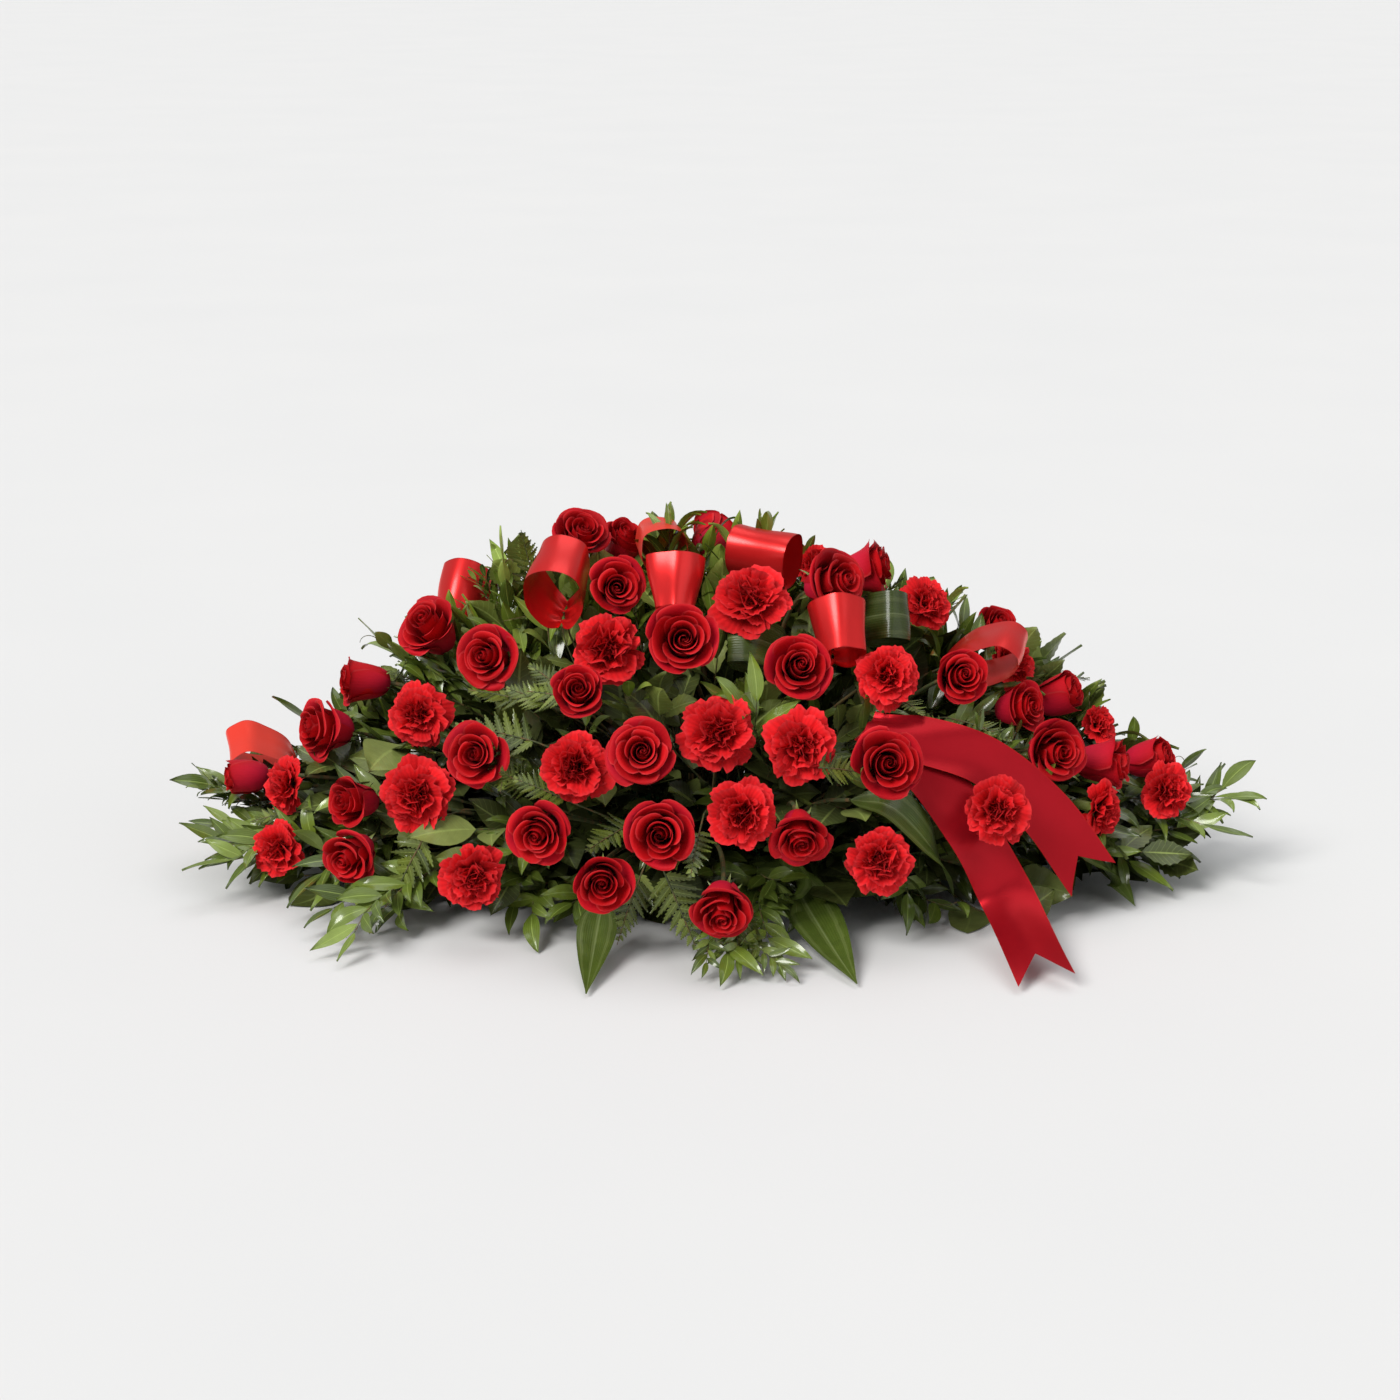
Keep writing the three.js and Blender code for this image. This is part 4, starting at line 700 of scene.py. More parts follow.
CLEAR_BALLS = kept_clear()


def is_taken(point):
    return any((point - middle).length < reach for middle, reach in CLEAR_BALLS)


def hides_bloom(point):
    """Whether a point lies in front of a flower head as the view shows it."""
    for head in ALL_HEADS:
        off = point - head.middle
        nearer = -off.dot(VIEW_FORWARD)
        if nearer > 0 and (off + VIEW_FORWARD * nearer).length < BLOOM_REACH * head.width:
            return True
    return False


def stem_line(entry, end, axis, draw):
    """A stem that leaves a hole of the foam straight out, and comes in along `axis` at its end."""
    point, normal = entry
    span = (point - end).length
    leave = point + normal * (span * draw(0.2, 0.35))
    return bowed_line(point - normal * (PEG_DEPTH / 2), leave, end - axis * (span * draw(0.25, 0.4)), end)


# Stems: the radius at the start and at the end.
ROSE_STEM = (0.0024, 0.0024)
CARNATION_STEM = (0.0018, 0.0018)
PICK = (0.0012, 0.0012)
ROLL_STALK = (0.002, 0.0018)
BLADE_STALK = (0.0022, 0.002)
FROND_STALK = (0.0012, 0.0009)
FROND_RIB = (0.0009, 0.0004)
TENDRIL = (0.0006, 0.0003)


def grow_stem(lines, entry, end, axis, draw, radii, steps=8):
    lines.append((sampled(stem_line(entry, end, axis, draw), steps), *radii))


# Meshes


def new_growth():
    """An empty mesh whose corners carry a tone and how far out they grow, which some finishes turn into
    painted shade and light.
    """
    bm = bmesh.new()
    bm.loops.layers.uv.new("blade")
    bm.verts.layers.float.new("tone")
    bm.verts.layers.float.new("outer")
    return bm


def add_sheet(bm, across, along, place, tone, outer=0.0):
    """A grid whose corners are set by place(u, v), u from -1 to 1 and v from 0 to 1."""
    grid = bmesh.ops.create_grid(bm, x_segments=across, y_segments=along, size=1, calc_uvs=True)
    tones, outers = bm.verts.layers.float["tone"], bm.verts.layers.float["outer"]
    for corner in grid["verts"]:
        spot = place(corner.co.x, (corner.co.y + 1) / 2)
        spot.z = max(spot.z, FLOOR_GAP)
        corner.co = spot
        corner[tones] = tone
        corner[outers] = outer


def mesh_of(name, bm):
    mesh = bpy.data.meshes.new(name)
    bm.to_mesh(mesh)
    bm.free()
    return mesh


def join(bm, other):
    """Moves a mesh into another, through a mesh datablock that is dropped again."""
    mesh = mesh_of("growth", other)
    bm.from_mesh(mesh)
    bpy.data.meshes.remove(mesh)


def placed(name, data):
    thing = bpy.data.objects.new(name, data)
    bpy.context.scene.collection.objects.link(thing)
    return thing


def add_piece(name, mesh, finish, slot, nodes):
    mesh.shade_smooth()
    mesh.materials.clear()
    mesh.materials.append(finish_for(finish))
    piece = placed(name, mesh)
    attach(piece, "root")
    if nodes:
        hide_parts(*nodes)
    return piece


def piece_from(name, bm, slot, *nodes):
    return add_piece(name, mesh_of(name, bm), slot, slot, nodes)


def add_stems(name, lines, slot, *nodes):
    """Round stems as one mesh. A line is a list of points with a radius at each end."""
    curve = bpy.data.curves.new(name, "CURVE")
    curve.dimensions = "3D"
    curve.bevel_depth = 1
    curve.bevel_resolution = 1
    curve.use_fill_caps = True
    for points, thick, thin in lines:
        spline = curve.splines.new("POLY")
        spline.points.add(len(points) - 1)
        for k, point in enumerate(points):
            radius = blend(thick, thin, k / (len(points) - 1))
            spline.points[k].co = (point.x, point.y, max(point.z, radius + FLOOR_GAP), 1)
            spline.points[k].radius = radius
    maker = bpy.data.objects.new(name, curve)
    mesh = bpy.data.meshes.new_from_object(maker)
    bpy.data.objects.remove(maker)
    bpy.data.curves.remove(curve)
    mesh.name = name
    return add_piece(name, mesh, "green_stem", slot, nodes)


def standing(axis, base, width, roll):
    """The matrix that stands a head of width 1 on its base."""
    turn = UP.rotation_difference(axis).to_matrix().to_4x4()
    size = Matrix.Scale(width, 4)
    return Matrix.Translation(base) @ turn @ Matrix.Rotation(roll, 4, "Z") @ size


def round_axis(radius, angle, height=0.0):
    return Vector((radius * math.cos(angle), radius * math.sin(angle), height))


def bump(off, width):
    return math.exp(-((off / width) ** 2))


# Petals: the turn from one to the next, and how many a closed and an open rose and a carnation have.
GOLDEN = math.radians(137.5)
ROSE_PETALS = (17, 21)
CARNATION_PETALS = 38

# Leaves: the pairs of leaflets of a frond, a leaflet's lobes, and the degrees that a leaf is rolled
# round its stem by until it is clear of the blooms.
FROND_PAIRS = 9
LEAFLET_LOBES = 6
LEAF_ROLLS = (0, 24, -24, 48, -48, 75, -75, 100)

# How a rose's petals change from its heart (0) to its guard petals (1), in whorls: the rim's radius
# and height, how far a petal wraps to each side, how far it opens, the radius and turn of its
# rolled rim, how far it bellies out low down, and over what length it flares. Lengths are shares
# of the head's width.
ROSE_GROWTH = (
    (0.0, (0.01, 0.6, 2.8, 0, 0.002, 10, 0.12, 0.1)),
    (0.15, (0.05, 0.635, 2.4, 0, 0.003, 25, 0.14, 0.12)),
    (0.32, (0.13, 0.64, 1.8, 10, 0.006, 60, 0.17, 0.15)),
    (0.36, (0.17, 0.63, 1.6, 22, 0.009, 85, 0.19, 0.16)),
    (0.51, (0.22, 0.6, 1.3, 34, 0.013, 100, 0.21, 0.17)),
    (0.55, (0.28, 0.585, 1.15, 52, 0.018, 110, 0.24, 0.19)),
    (0.71, (0.345, 0.54, 1.1, 62, 0.021, 110, 0.27, 0.21)),
    (0.75, (0.42, 0.49, 1.14, 74, 0.024, 95, 0.3, 0.25)),
    (1.0, (0.48, 0.42, 1.12, 84, 0.028, 85, 0.33, 0.27)),
)

# How a carnation's petals change from the middle (0) to the rim (1): the length, the slope that
# the claw leaves with and that the blade ends with, half the fan's angle, the ruffle and the twist.
CARNATION_GROWTH = (
    (0.0, (0.4, 84, 124, 26, 0.07, 1.5)),
    (0.25, (0.46, 86, 84, 30, 0.08, 1.3)),
    (0.45, (0.48, 80, 54, 34, 0.065, 1.0)),
    (0.6, (0.49, 70, 26, 37, 0.048, 0.7)),
    (0.78, (0.52, 58, 0, 40, 0.036, 0.55)),
    (1.0, (0.52, 44, -26, 42, 0.03, 0.45)),
)


def grown(table, share):
    """The values of a growth table at a share between its rows."""
    for (low, first), (high, last) in zip(table, table[1:]):
        if share <= high:
            part = (share - low) / (high - low)
            return [blend(a, b, part) for a, b in zip(first, last)]
    return list(table[-1][1])


def add_rose_petal(bm, matrix, draw, share, openness, turn, heart):
    """One petal of a rose of width 1. share is 0 for the innermost petal and 1 for the outermost."""
    rim, height, spread, opening, roll_radius, curl, belly, hand = grown(ROSE_GROWTH, share)
    loose = ease(0.4, 0.75, share)
    closed = 1 - openness
    rim *= blend(1, 0.76, closed) * draw(0.95, 1.06)
    height += closed * 0.26 * share + draw(-0.03, 0.03) * loose
    stretch = blend(1.2, 1.45, closed)
    spread *= draw(0.9, 1.14)
    opening = math.radians(opening * openness * draw(0.85, 1.15))
    curl = math.radians(curl * draw(0.55, 1.3) * blend(1, 0.55, closed))
    roll_radius *= blend(1, 0.6, closed) * draw(0.75, 1.3)
    body = blend(0.9, 0.72, share)
    pitch = blend(0.012, 0.026, share)
    wave, phase = draw(0.4, 1.4), draw(0, 6.3)
    point, dip, lean = draw(0.3, 1.0) * loose, draw(0.25, 0.5), draw(-0.25, 0.25)
    belly += 0.08 * closed * share
    bulge = 0.14 * closed * share

    def place(u, v):
        side = abs(u - lean * loose)
        edge = 1 - blend(0.14, 0.5, share) * abs(u) ** 2.7
        edge += 0.16 * point * bump(side, 0.22) - 0.05 * point * bump(side - dip, 0.2)
        w = v * edge
        q = min(w / body, 1)
        p = 1 - q
        radius = 0.05 * p**3 + 3 * belly * p * p * q
        radius += 3 * (rim + bulge - hand * math.sin(opening)) * p * q * q + rim * q**3
        z = 3 * 0.02 * p * p * q + 3 * (height - hand * math.cos(opening)) * p * q * q + height * q**3
        if w > body:
            side_roll = blend(0.75, 0.3, point) + 1.25 * min(side, 1) ** 1.2
            bend = opening + curl * side_roll * (w - body) / (1 - body)
            reach = roll_radius * 1.25 + (1 - body) * 0.06 * share
            radius += reach * (math.cos(opening) - math.cos(bend))
            z += reach * (math.sin(bend) - math.sin(opening))
        radius += pitch * u * spread * min(1, w * 2)
        ripple = wave * share * w**3
        radius += 0.024 * ripple * math.sin(2.6 * u + phase)
        z += 0.024 * ripple * math.sin(4.3 * u + phase * 2)
        angle = turn + spread * u * (0.42 + 0.58 * min(1, w / 0.45) ** 0.7)
        return matrix @ (round_axis(radius, angle, z * stretch) + heart * ((1 - share) * w))

    add_sheet(bm, 13, 10, place, draw(), share)


def add_rose(bm, head, draw):
    openness = clamp(bpy.context.scene.spray.rose_openness * ease(0.036, 0.062, head.width), 0.25, 1)
    openness, roll = openness * draw(0.88, 1.1), draw(0, 6.3)
    side_on = 1 - abs(head.axis.dot(VIEW_FORWARD))
    width = head.width * blend(1, 1.14, min(1, side_on * 1.6))
    matrix = standing(head.axis, head.middle - head.axis * (ROSE_MIDDLE * width), width, roll)
    heart = Vector((draw(-0.07, 0.07), draw(-0.07, 0.07), draw(-0.02, 0.03)))
    petals = round(blend(*ROSE_PETALS, openness))
    for k in range(petals):
        share = k / (petals - 1)
        add_rose_petal(bm, matrix, draw, share, openness, k * GOLDEN + draw(-0.3, 0.3), heart)


def add_carnation_petal(bm, matrix, draw, share, turn):
    """One petal of a carnation of width 1: a fan with a toothed rim, ruffled and folded."""
    across, along = 16, 5
    length, leave, arrive, fan, ruffle, twist = grown(CARNATION_GROWTH, share)
    length *= draw(0.84, 1.06)
    leave, arrive = math.radians(leave + draw(-6, 6)), math.radians(arrive + draw(-20, 20))
    fan = math.radians(fan * draw(0.82, 1.15))
    twist *= draw(-1, 1)
    ruffle *= draw(0.5, 1.6)
    folds, phase = draw(0.8, 2.2) + 0.9 * (1 - share), draw(0, 6.3)
    pleat, fine, split = draw(0.006, 0.015), draw(0, 6.3), draw(-0.6, 0.6)
    pleats, cleft = draw(6.5, 11), draw(0.06, 0.26)
    crease, crease_side = draw(-0.16, 0.16) * (1.2 - 0.7 * share), draw(-0.5, 0.5)
    foot, outward = round_axis(0.03, turn, 0.22), round_axis(1, turn)
    sideways = Vector((-math.sin(turn), math.cos(turn), 0))

    def place(u, v):
        column = round((u + 1) * across / 2)
        edge = 1 - 0.16 * abs(u) ** 2.2 - cleft * bump(u - split, 0.1)
        if v > 0.99:
            edge -= 0.024 * (column % 2) * (1 + 0.8 * math.sin(7 * column + fine))
        w = v * edge
        angle = fan * u
        reach = w * math.cos(angle)
        bend = blend(leave, arrive, reach / 2)
        tilt = blend(leave, arrive, reach)
        spot = foot + (outward * math.cos(bend) + UP * math.sin(bend)) * (length * reach)
        normal = UP * math.cos(tilt) - outward * math.sin(tilt)
        across_way = (sideways + normal * (twist * w)).normalized()
        spot += across_way * (length * w * math.sin(angle) * (0.35 + 0.65 * min(1, w * 1.5)))
        wave = ruffle * w * w * math.sin(math.pi * folds * u + phase)
        wave += crease * w**3 * max(0, abs(u - crease_side) - 0.2)
        wave += pleat * w * w * math.sin(pleats * u + fine + 3 * w)
        wave += 0.011 * w**4 * math.sin(21 * u + fine)
        return matrix @ (spot + normal * wave)

    add_sheet(bm, across, along, place, draw(), share)


def add_carnation(bm, head, draw):
    matrix = standing(head.axis, head.base, head.width, draw(0, 6.3))
    for k in range(CARNATION_PETALS):
        share = (k / (CARNATION_PETALS - 1)) ** 0.85
        add_carnation_petal(bm, matrix, draw, share, k * GOLDEN + draw(-0.4, 0.4))


def add_heads(groups, seed, slot, add_head):
    for index, (name, heads) in enumerate(groups.items()):
        draw, bm = Draw(seed + index), new_growth()
        for head in heads:
            petals = new_growth()
            add_head(petals, head, draw)
            join(bm, petals)
        piece_from(name + "_petals", bm, slot, name)


def blade_half(share, belly):
    """The half width of a pointed leaf along its length, 1 where it is broadest."""
    return max(math.sin(math.pi * share ** (math.log(0.5) / math.log(belly))), 0.0)


def add_leaf(bm, kind, root, way, face, size, draw, outer):
    """A leaf blade from its root along `way`, with its upper side towards `face`."""
    length, half = kind.length * size, kind.width * size * draw(0.8, 1.12) / 2
    arch = kind.arch * draw(-0.2, 2.2)
    middle = root + way * (length / 2) + face * (length * arch)
    end = root + way * length - face * (length * arch)
    rib = bent_line(root, middle, end)
    phase, wave, side_bend = draw(0, 6.3), kind.wave * draw(0.3, 1.2), draw(-0.16, 0.16)
    sideways, turn = way.cross(face).normalized(), draw(-0.6, 0.6)

    def place(u, v):
        ahead = ((middle - root) * (1 - v) + (end - middle) * v).normalized()
        side = Matrix.Rotation(turn * v, 3, ahead) @ ahead.cross(face).normalized()
        reach = half * blade_half(v, kind.belly)
        if kind.teeth and abs(u) > 0.9:
            reach *= 1 + kind.teeth * (1 if round(v * kind.rows) % 2 else -1)
        lift = kind.fold * abs(u) + wave * math.sin(9 * v + phase + 1.5 * u) * abs(u)
        spot = rib(v) + side * (u * reach) + side.cross(ahead) * (lift * half * (0.3 + v))
        return spot + sideways * (side_bend * length * v * v)

    add_sheet(bm, 4, kind.rows, place, draw(), outer)


def add_leafy_stem(bm, stems, kind, entry, tip, axis, draw, bare=None, clear=True):
    """A stem from the foam, with leaves that alternate along its outer part up to its tip."""
    line = stem_line(entry, tip - axis * (kind.length * 0.8), axis, draw)
    bare = kind.bare if bare is None else bare
    count = max(2, int(line_length(line, 12) * (1 - bare) / kind.gap))
    reached = 0.0
    for k in range(count + 1):
        share = 1 if k == count else bare + (1 - bare) * (k + 0.5) / (count + 0.5)
        side = 0 if k == count else (1 if k % 2 else -1)
        root, ahead = line(share), ahead_of(line, share)
        size = 0.72 + 0.48 * draw()
        face = skyward(root)
        for roll in LEAF_ROLLS:
            spun = Matrix.Rotation(math.radians(roll + draw(-14, 14)), 3, ahead) @ face
            sideways = ahead.cross(spun).normalized() * side
            lean = math.radians(kind.lean * draw(0.75, 1.25)) if side else 0
            way = (ahead * math.cos(lean) + sideways * math.sin(lean) + spun * 0.12).normalized()
            spots = [root + way * (kind.length * size * part) for part in (0.45, 0.8, 1)]
            hidden = sum(hides_bloom(spot) for spot in spots) > 1
            if not clear or not (hidden or any(is_taken(spot) for spot in spots)):
                # The outer share is painted shade and light: low for a leaf deep in the mound, raised
                # near the top line, and cut by the kind's share of light.
                outer = ease(0.25, 0.8, fullness(spots[0]))
                outer *= blend(1, 1.8, ease(0.2, 0.32, spots[0].z)) * kind.light
                add_leaf(bm, kind, root, way, spun, size, draw, outer)
                reached = share
                break
    if reached:
        stems.append((sampled(line, 12, 0, reached), kind.stem, kind.stem * 0.5))


def add_frond(bm, stems, foot, tip, width, face, draw):
    """A fern frond: an arched rib with toothed leaflets that shorten towards its tip."""
    length = (tip - foot).length
    rib = bent_line(foot, (foot + tip) / 2 + face * (length * 0.08), tip)
    stems.append((sampled(rib, 8), *FROND_RIB))
    rows = 3 * LEAFLET_LOBES
    for k in range(2 * FROND_PAIRS):
        share = 0.05 + 0.93 * (k // 2 + 0.35 * (k % 2)) / FROND_PAIRS
        side = 1 if k % 2 else -1
        reach = width / 2 * (1 - share) ** 0.75 * (0.85 if k < 2 else 1) * draw(0.93, 1.07)
        ahead = ahead_of(rib, share)
        sideways = ahead.cross(face).normalized() * side
        up = ahead.cross(sideways).normalized() * side
        lean = math.radians(blend(66, 42, share) + draw(-5, 5))
        way = ahead * math.sin(math.pi / 2 - lean) + sideways * math.cos(math.pi / 2 - lean)
        way = (way + up * draw(-0.12, 0.12)).normalized()
        cross_way = up.cross(way).normalized()
        half = min(0.2 * reach + 0.002, 0.5 * length / FROND_PAIRS)
        root, droop = rib(share), draw(0.04, 0.2)

        def place(u, v):
            row = round(v * rows)
            cut = (0.62, 0.97, 1.0)[row % 3] if 0 < row < rows else 0.35
            taper = (1 - v**1.7) * 0.95 + 0.05
            spot = root + way * (reach * (v + 0.09 * abs(u) * (row % 3 > 0)))
            spot = spot + cross_way * (u * half * cut * taper)
            return spot - up * (droop * reach * v * v - 0.12 * half * abs(u))

        add_sheet(bm, 2, rows, place, draw(), 0.85)


def add_long_blade(bm, line, half_width, face, twist, draw):
    """A broad strap of a leaf along a line, folded up a little along its rib."""
    phase = draw(0, 6.3)

    def place(u, v):
        ahead = ahead_of(line, v)
        side = ahead.cross(face).normalized()
        half = max(half_width * blade_half(v, TI_BELLY), 0.0006)
        lift = 0.22 * abs(u) + 0.07 * math.sin(7 * v + phase + 2 * u) * abs(u) + twist * u * v
        return line(v) + side * (u * half) + side.cross(ahead) * (lift * half)

    add_sheet(bm, 10, 30, place, draw(), 0.9)


def tendril(start, axis, draw):
    """A wiry shoot that runs on from a stem's tip and curls over at its end."""
    side = axis.cross(VIEW_FORWARD).normalized()
    steps, reach, hook = 14, draw(0.018, 0.034), draw(2.2, 4.6) * (1 if draw() > 0.5 else -1)
    points = [start]
    for k in range(steps):
        turn = hook * (k / steps) ** 2
        points.append(points[-1] + (axis * math.cos(turn) + side * math.sin(turn)) * (reach / steps))
    return points


# Ribbon: how much a loop is gathered at its ends and how suddenly, and how deep a tail is notched.
LOOP_GATHER = 0.45
LOOP_SHARPNESS = 6
TAIL_NOTCH = 0.46


def add_loop(bm, loop, width, draw):
    """A ribbon's loop: the band goes once round its line, gathered where its ends meet."""
    line, axis, _, pinch = loop_frame(loop)
    phase, slack = draw(0, 6.3), draw(0.4, 1)
    middle = (line(0) + line(0.5)) / 2

    def place(u, v):
        share = blend(LOOP_OPEN, 1 - LOOP_OPEN, v)
        far = abs(2 * v - 1)
        gather = 1 - LOOP_GATHER * far**LOOP_SHARPNESS
        outward = ahead_of(line, share).cross(axis)
        spot = line(share) + axis * (u * width / 2 * gather)
        spot += (line(share) - middle) * (loop.taper * u * (1 - far**4))
        crease = 0.0022 * far**5 * math.sin(8 * u + phase)
        sway = 0.0016 * slack * math.sin(2.4 * u + phase) * math.sin(math.pi * v)
        sway += loop.folds * math.sin(34 * v + phase + 0.6 * u) * (1 - far**4)
        spot += outward * (crease + sway)
        return spot - VIEW_UP * ((spot - pinch).dot(VIEW_UP) * (1 - loop.height))

    add_sheet(bm, 14, 72, place, loop.tone)


def add_tail(bm, line, face, end_face, width):
    """A ribbon's tail, cut to a swallow tail at its end."""
    notch = TAIL_NOTCH * width / line_length(line)

    def place(u, v):
        share = v * (1 - notch * (1 - abs(u)))
        ahead = ahead_of(line, min(share, 0.995))
        side = ahead.cross(face.lerp(end_face, ease(0.3, 0.9, share))).normalized()
        gather = blend(0.7, 1, ease(0, 0.22, share))
        ripple = 0.0035 * math.sin(2.4 * u + 9 * share) * (1 - 0.5 * share)
        ripple += 0.0022 * (1 - ease(0, 0.3, share)) * math.cos(5 * u)
        return line(share) + side * (u * width / 2 * gather) + side.cross(ahead) * ripple

    # A tone of 0.15 makes the satin's finish paint the tails darker and crimson: painted shade.
    add_sheet(bm, 16, 70, place, 0.15)


# Materials


class Value:
    """What a node gives out. The operators on it add the Math nodes that work it out."""

    def __init__(self, paint, output):
        self.paint = paint
        self.output = output

    def __add__(self, other):
        return self.paint.math("ADD", self, other)

    __radd__ = __add__

    def __mul__(self, other):
        return self.paint.math("MULTIPLY", self, other)

    __rmul__ = __mul__

    def __sub__(self, other):
        return self.paint.math("SUBTRACT", self, other)

    def __rsub__(self, other):
        return self.paint.math("SUBTRACT", other, self)

    def __pow__(self, other):
        return self.paint.math("POWER", self, other)

    def __abs__(self):
        return self.paint.math("ABSOLUTE", self)

    def wave(self):
        return self.paint.math("SINE", self)

    def rise(self, low, high, least=0.0, most=1.0):
        """A smooth step from `least` at low to `most` at high."""
        kind = {"interpolation_type": "SMOOTHSTEP"}
        ends = {"From Min": low, "From Max": high, "To Min": least, "To Max": most}
        return self.paint.add("ShaderNodeMapRange", kind, {"Value": self, **ends})


class Paint:
    """A material's nodes, ending in one Principled shader whose constants are set on its sockets."""

    def __init__(self, name, **constants):
        self.material = bpy.data.materials.new(name)
        self.material.use_nodes = True
        self.nodes = self.material.node_tree.nodes
        self.links = self.material.node_tree.links
        self.shader = self.nodes["Principled BSDF"]
        self.set(self.shader, {key.replace("_", " "): value for key, value in constants.items()})

    def set(self, node, sockets):
        for key, value in sockets.items():
            if isinstance(value, Value):
                self.links.new(value.output, node.inputs[key])
            else:
                node.inputs[key].default_value = value

    def add(self, kind, settings, sockets, output=0):
        """A node with its settings, then its sockets' values or links. Returns one output."""
        node = self.nodes.new(kind)
        for key, value in settings.items():
            setattr(node, key, value)
        self.set(node, sockets)
        return Value(self, node.outputs[output])

    def math(self, operation, *values):
        return self.add("ShaderNodeMath", {"operation": operation}, dict(enumerate(values)))

    def attribute(self, name):
        return self.add("ShaderNodeAttribute", {"attribute_name": name}, {}, "Fac")

    def blade(self):
        """How far across a blade a spot is, from -1 to 1, and how far along, from 0 to 1."""
        spot = self.add("ShaderNodeUVMap", {"uv_map": "blade"}, {})
        across = self.add("ShaderNodeSeparateXYZ", {}, {0: spot}, "X")
        along = self.add("ShaderNodeSeparateXYZ", {}, {0: spot}, "Y")
        return across * 2 - 1, along

    def noise(self, scale, detail=2.0, stretch=(1, 1, 1), roughness=0.5):
        spot = self.add("ShaderNodeTexCoord", {}, {}, "Object")
        spot = self.add("ShaderNodeMapping", {}, {"Vector": spot, "Scale": stretch})
        sockets = {"Vector": spot, "Scale": scale, "Detail": detail, "Roughness": roughness}
        return self.add("ShaderNodeTexNoise", {}, sockets, "Fac")

    def cells(self, scale):
        spot = self.add("ShaderNodeTexCoord", {}, {}, "Object")
        return self.add("ShaderNodeTexVoronoi", {}, {"Vector": spot, "Scale": scale}, "Distance")

    def mix(self, first, second, share):
        ends = [c if isinstance(c, Value) else (*c, 1) for c in (first, second)]
        sockets = {0: share, 6: ends[0], 7: ends[1]}
        return self.add("ShaderNodeMix", {"data_type": "RGBA"}, sockets, 2)

    def scaled(self, colour, amount):
        sockets = {0: colour, "Scale": amount}
        return self.add("ShaderNodeVectorMath", {"operation": "SCALE"}, sockets)

    def finish(self, colour, roughness, height=None, strength=0.3, distance=0.001):
        self.set(self.shader, {"Base Color": colour, "Roughness": roughness})
        if height is not None:
            sockets = {"Height": height, "Strength": strength, "Distance": distance}
            self.set(self.shader, {"Normal": self.add("ShaderNodeBump", {}, sockets)})
        return self.material


def shade(colour, amount):
    return tuple(clamp(part * amount, 0, 1) for part in colour)


def toward(colour, other, share):
    return tuple(blend(a, b, share) for a, b in zip(colour, other))


MAGENTA = (0.6, 0.02, 0.1)
# Painted highlight colour for the petals' rims.
RIM_HIGHLIGHT_PINK = (0.85, 0.16, 0.18)
# Painted shade colour for the satin's tails.
SHADED_CRIMSON = (0.32, 0.002, 0.02)
# Painted light colour for two satin loops, the colour of the satin's highlights.
LIT_SALMON = (0.95, 0.12, 0.05)
FRESH_LEAF = (0.3, 0.3, 0.01)
PALE_LEAF = (0.3, 0.33, 0.12)
PALE_RIB = (0.45, 0.55, 0.15)
PALE_VEIN = (0.4, 0.5, 0.15)
TI_BAND = (0.3, 0.34, 0.14)
TI_RIB = (0.3, 0.36, 0.16)
WOODY = (0.2, 0.07, 0.03)


def rose_petal(colour):
    sheen = {"Sheen_Weight": 0.04, "Sheen_Roughness": 0.35, "Sheen_Tint": (1, 0.2, 0.3, 1)}
    paint = Paint("rose_petal", Specular_IOR_Level=0.28, Specular_Tint=(1, 0.4, 0.4, 1), **sheen)
    across, along = paint.blade()
    tone, outer = paint.attribute("tone"), paint.attribute("outer")
    # Painted shade: each petal is painted darker towards its foot, and the inner petals over more of
    # their length.
    body = paint.mix(shade(colour, 0.5), colour, (along + outer * 0.35).rise(0.2, 0.85))
    body = paint.mix(body, toward(colour, MAGENTA, 0.65), outer.rise(0.7, 1) * (1 - along) * 0.75)
    # Painted highlight: the rim and outer corners of a rose petal are painted lighter and pinker.
    rim = (along + abs(across) ** 4 * 0.12).rise(0.93, 1.0)
    body = paint.mix(body, toward(colour, RIM_HIGHLIGHT_PINK, 0.25), rim * 0.5)
    mottle = paint.noise(70, 3)
    body = paint.scaled(body, 0.7 + tone * 0.32 + mottle * 0.28)
    veins = (across * 46 + mottle * 5).wave() * 0.3 + paint.noise(1400, 2) * 0.7
    return paint.finish(body, 0.52 + mottle * 0.16, veins, 0.14, 0.0006)


def carnation_petal(colour):
    sheen = {"Sheen_Weight": 0.04, "Sheen_Roughness": 0.5, "Sheen_Tint": (1, 0.3, 0.3, 1)}
    paint = Paint("carnation_petal", Specular_IOR_Level=0.15, Specular_Tint=(1, 0.4, 0.4, 1), **sheen)
    across, along = paint.blade()
    tone, outer = paint.attribute("tone"), paint.attribute("outer")
    # Painted shade: petals are painted darker towards their foot in the middle of the head.
    body = paint.mix(shade(colour, 0.12), colour, along.rise(0.2, 0.84))
    # Painted highlight: the rims are painted lighter and pinker.
    body = paint.mix(body, toward(colour, RIM_HIGHLIGHT_PINK, 0.22), along.rise(0.86, 1) * 0.5)
    # Besides a random tone, the inner petals are painted a little darker than the outer ones: painted
    # shade.
    body = paint.scaled(body, 0.68 + tone * 0.34 + outer * 0.12)
    pleats = (across * 30 + along * 5 + tone * 6 + paint.noise(160, 2) * 5).wave()
    # Painted light and shade: the colour is lighter and darker across the pleats.
    body = paint.scaled(body, 0.97 + pleats * 0.07)
    height = pleats * 0.6 + paint.noise(1200, 2) * 0.4
    return paint.finish(body, 0.62 + tone * 0.1, height, 0.3, 0.0006)


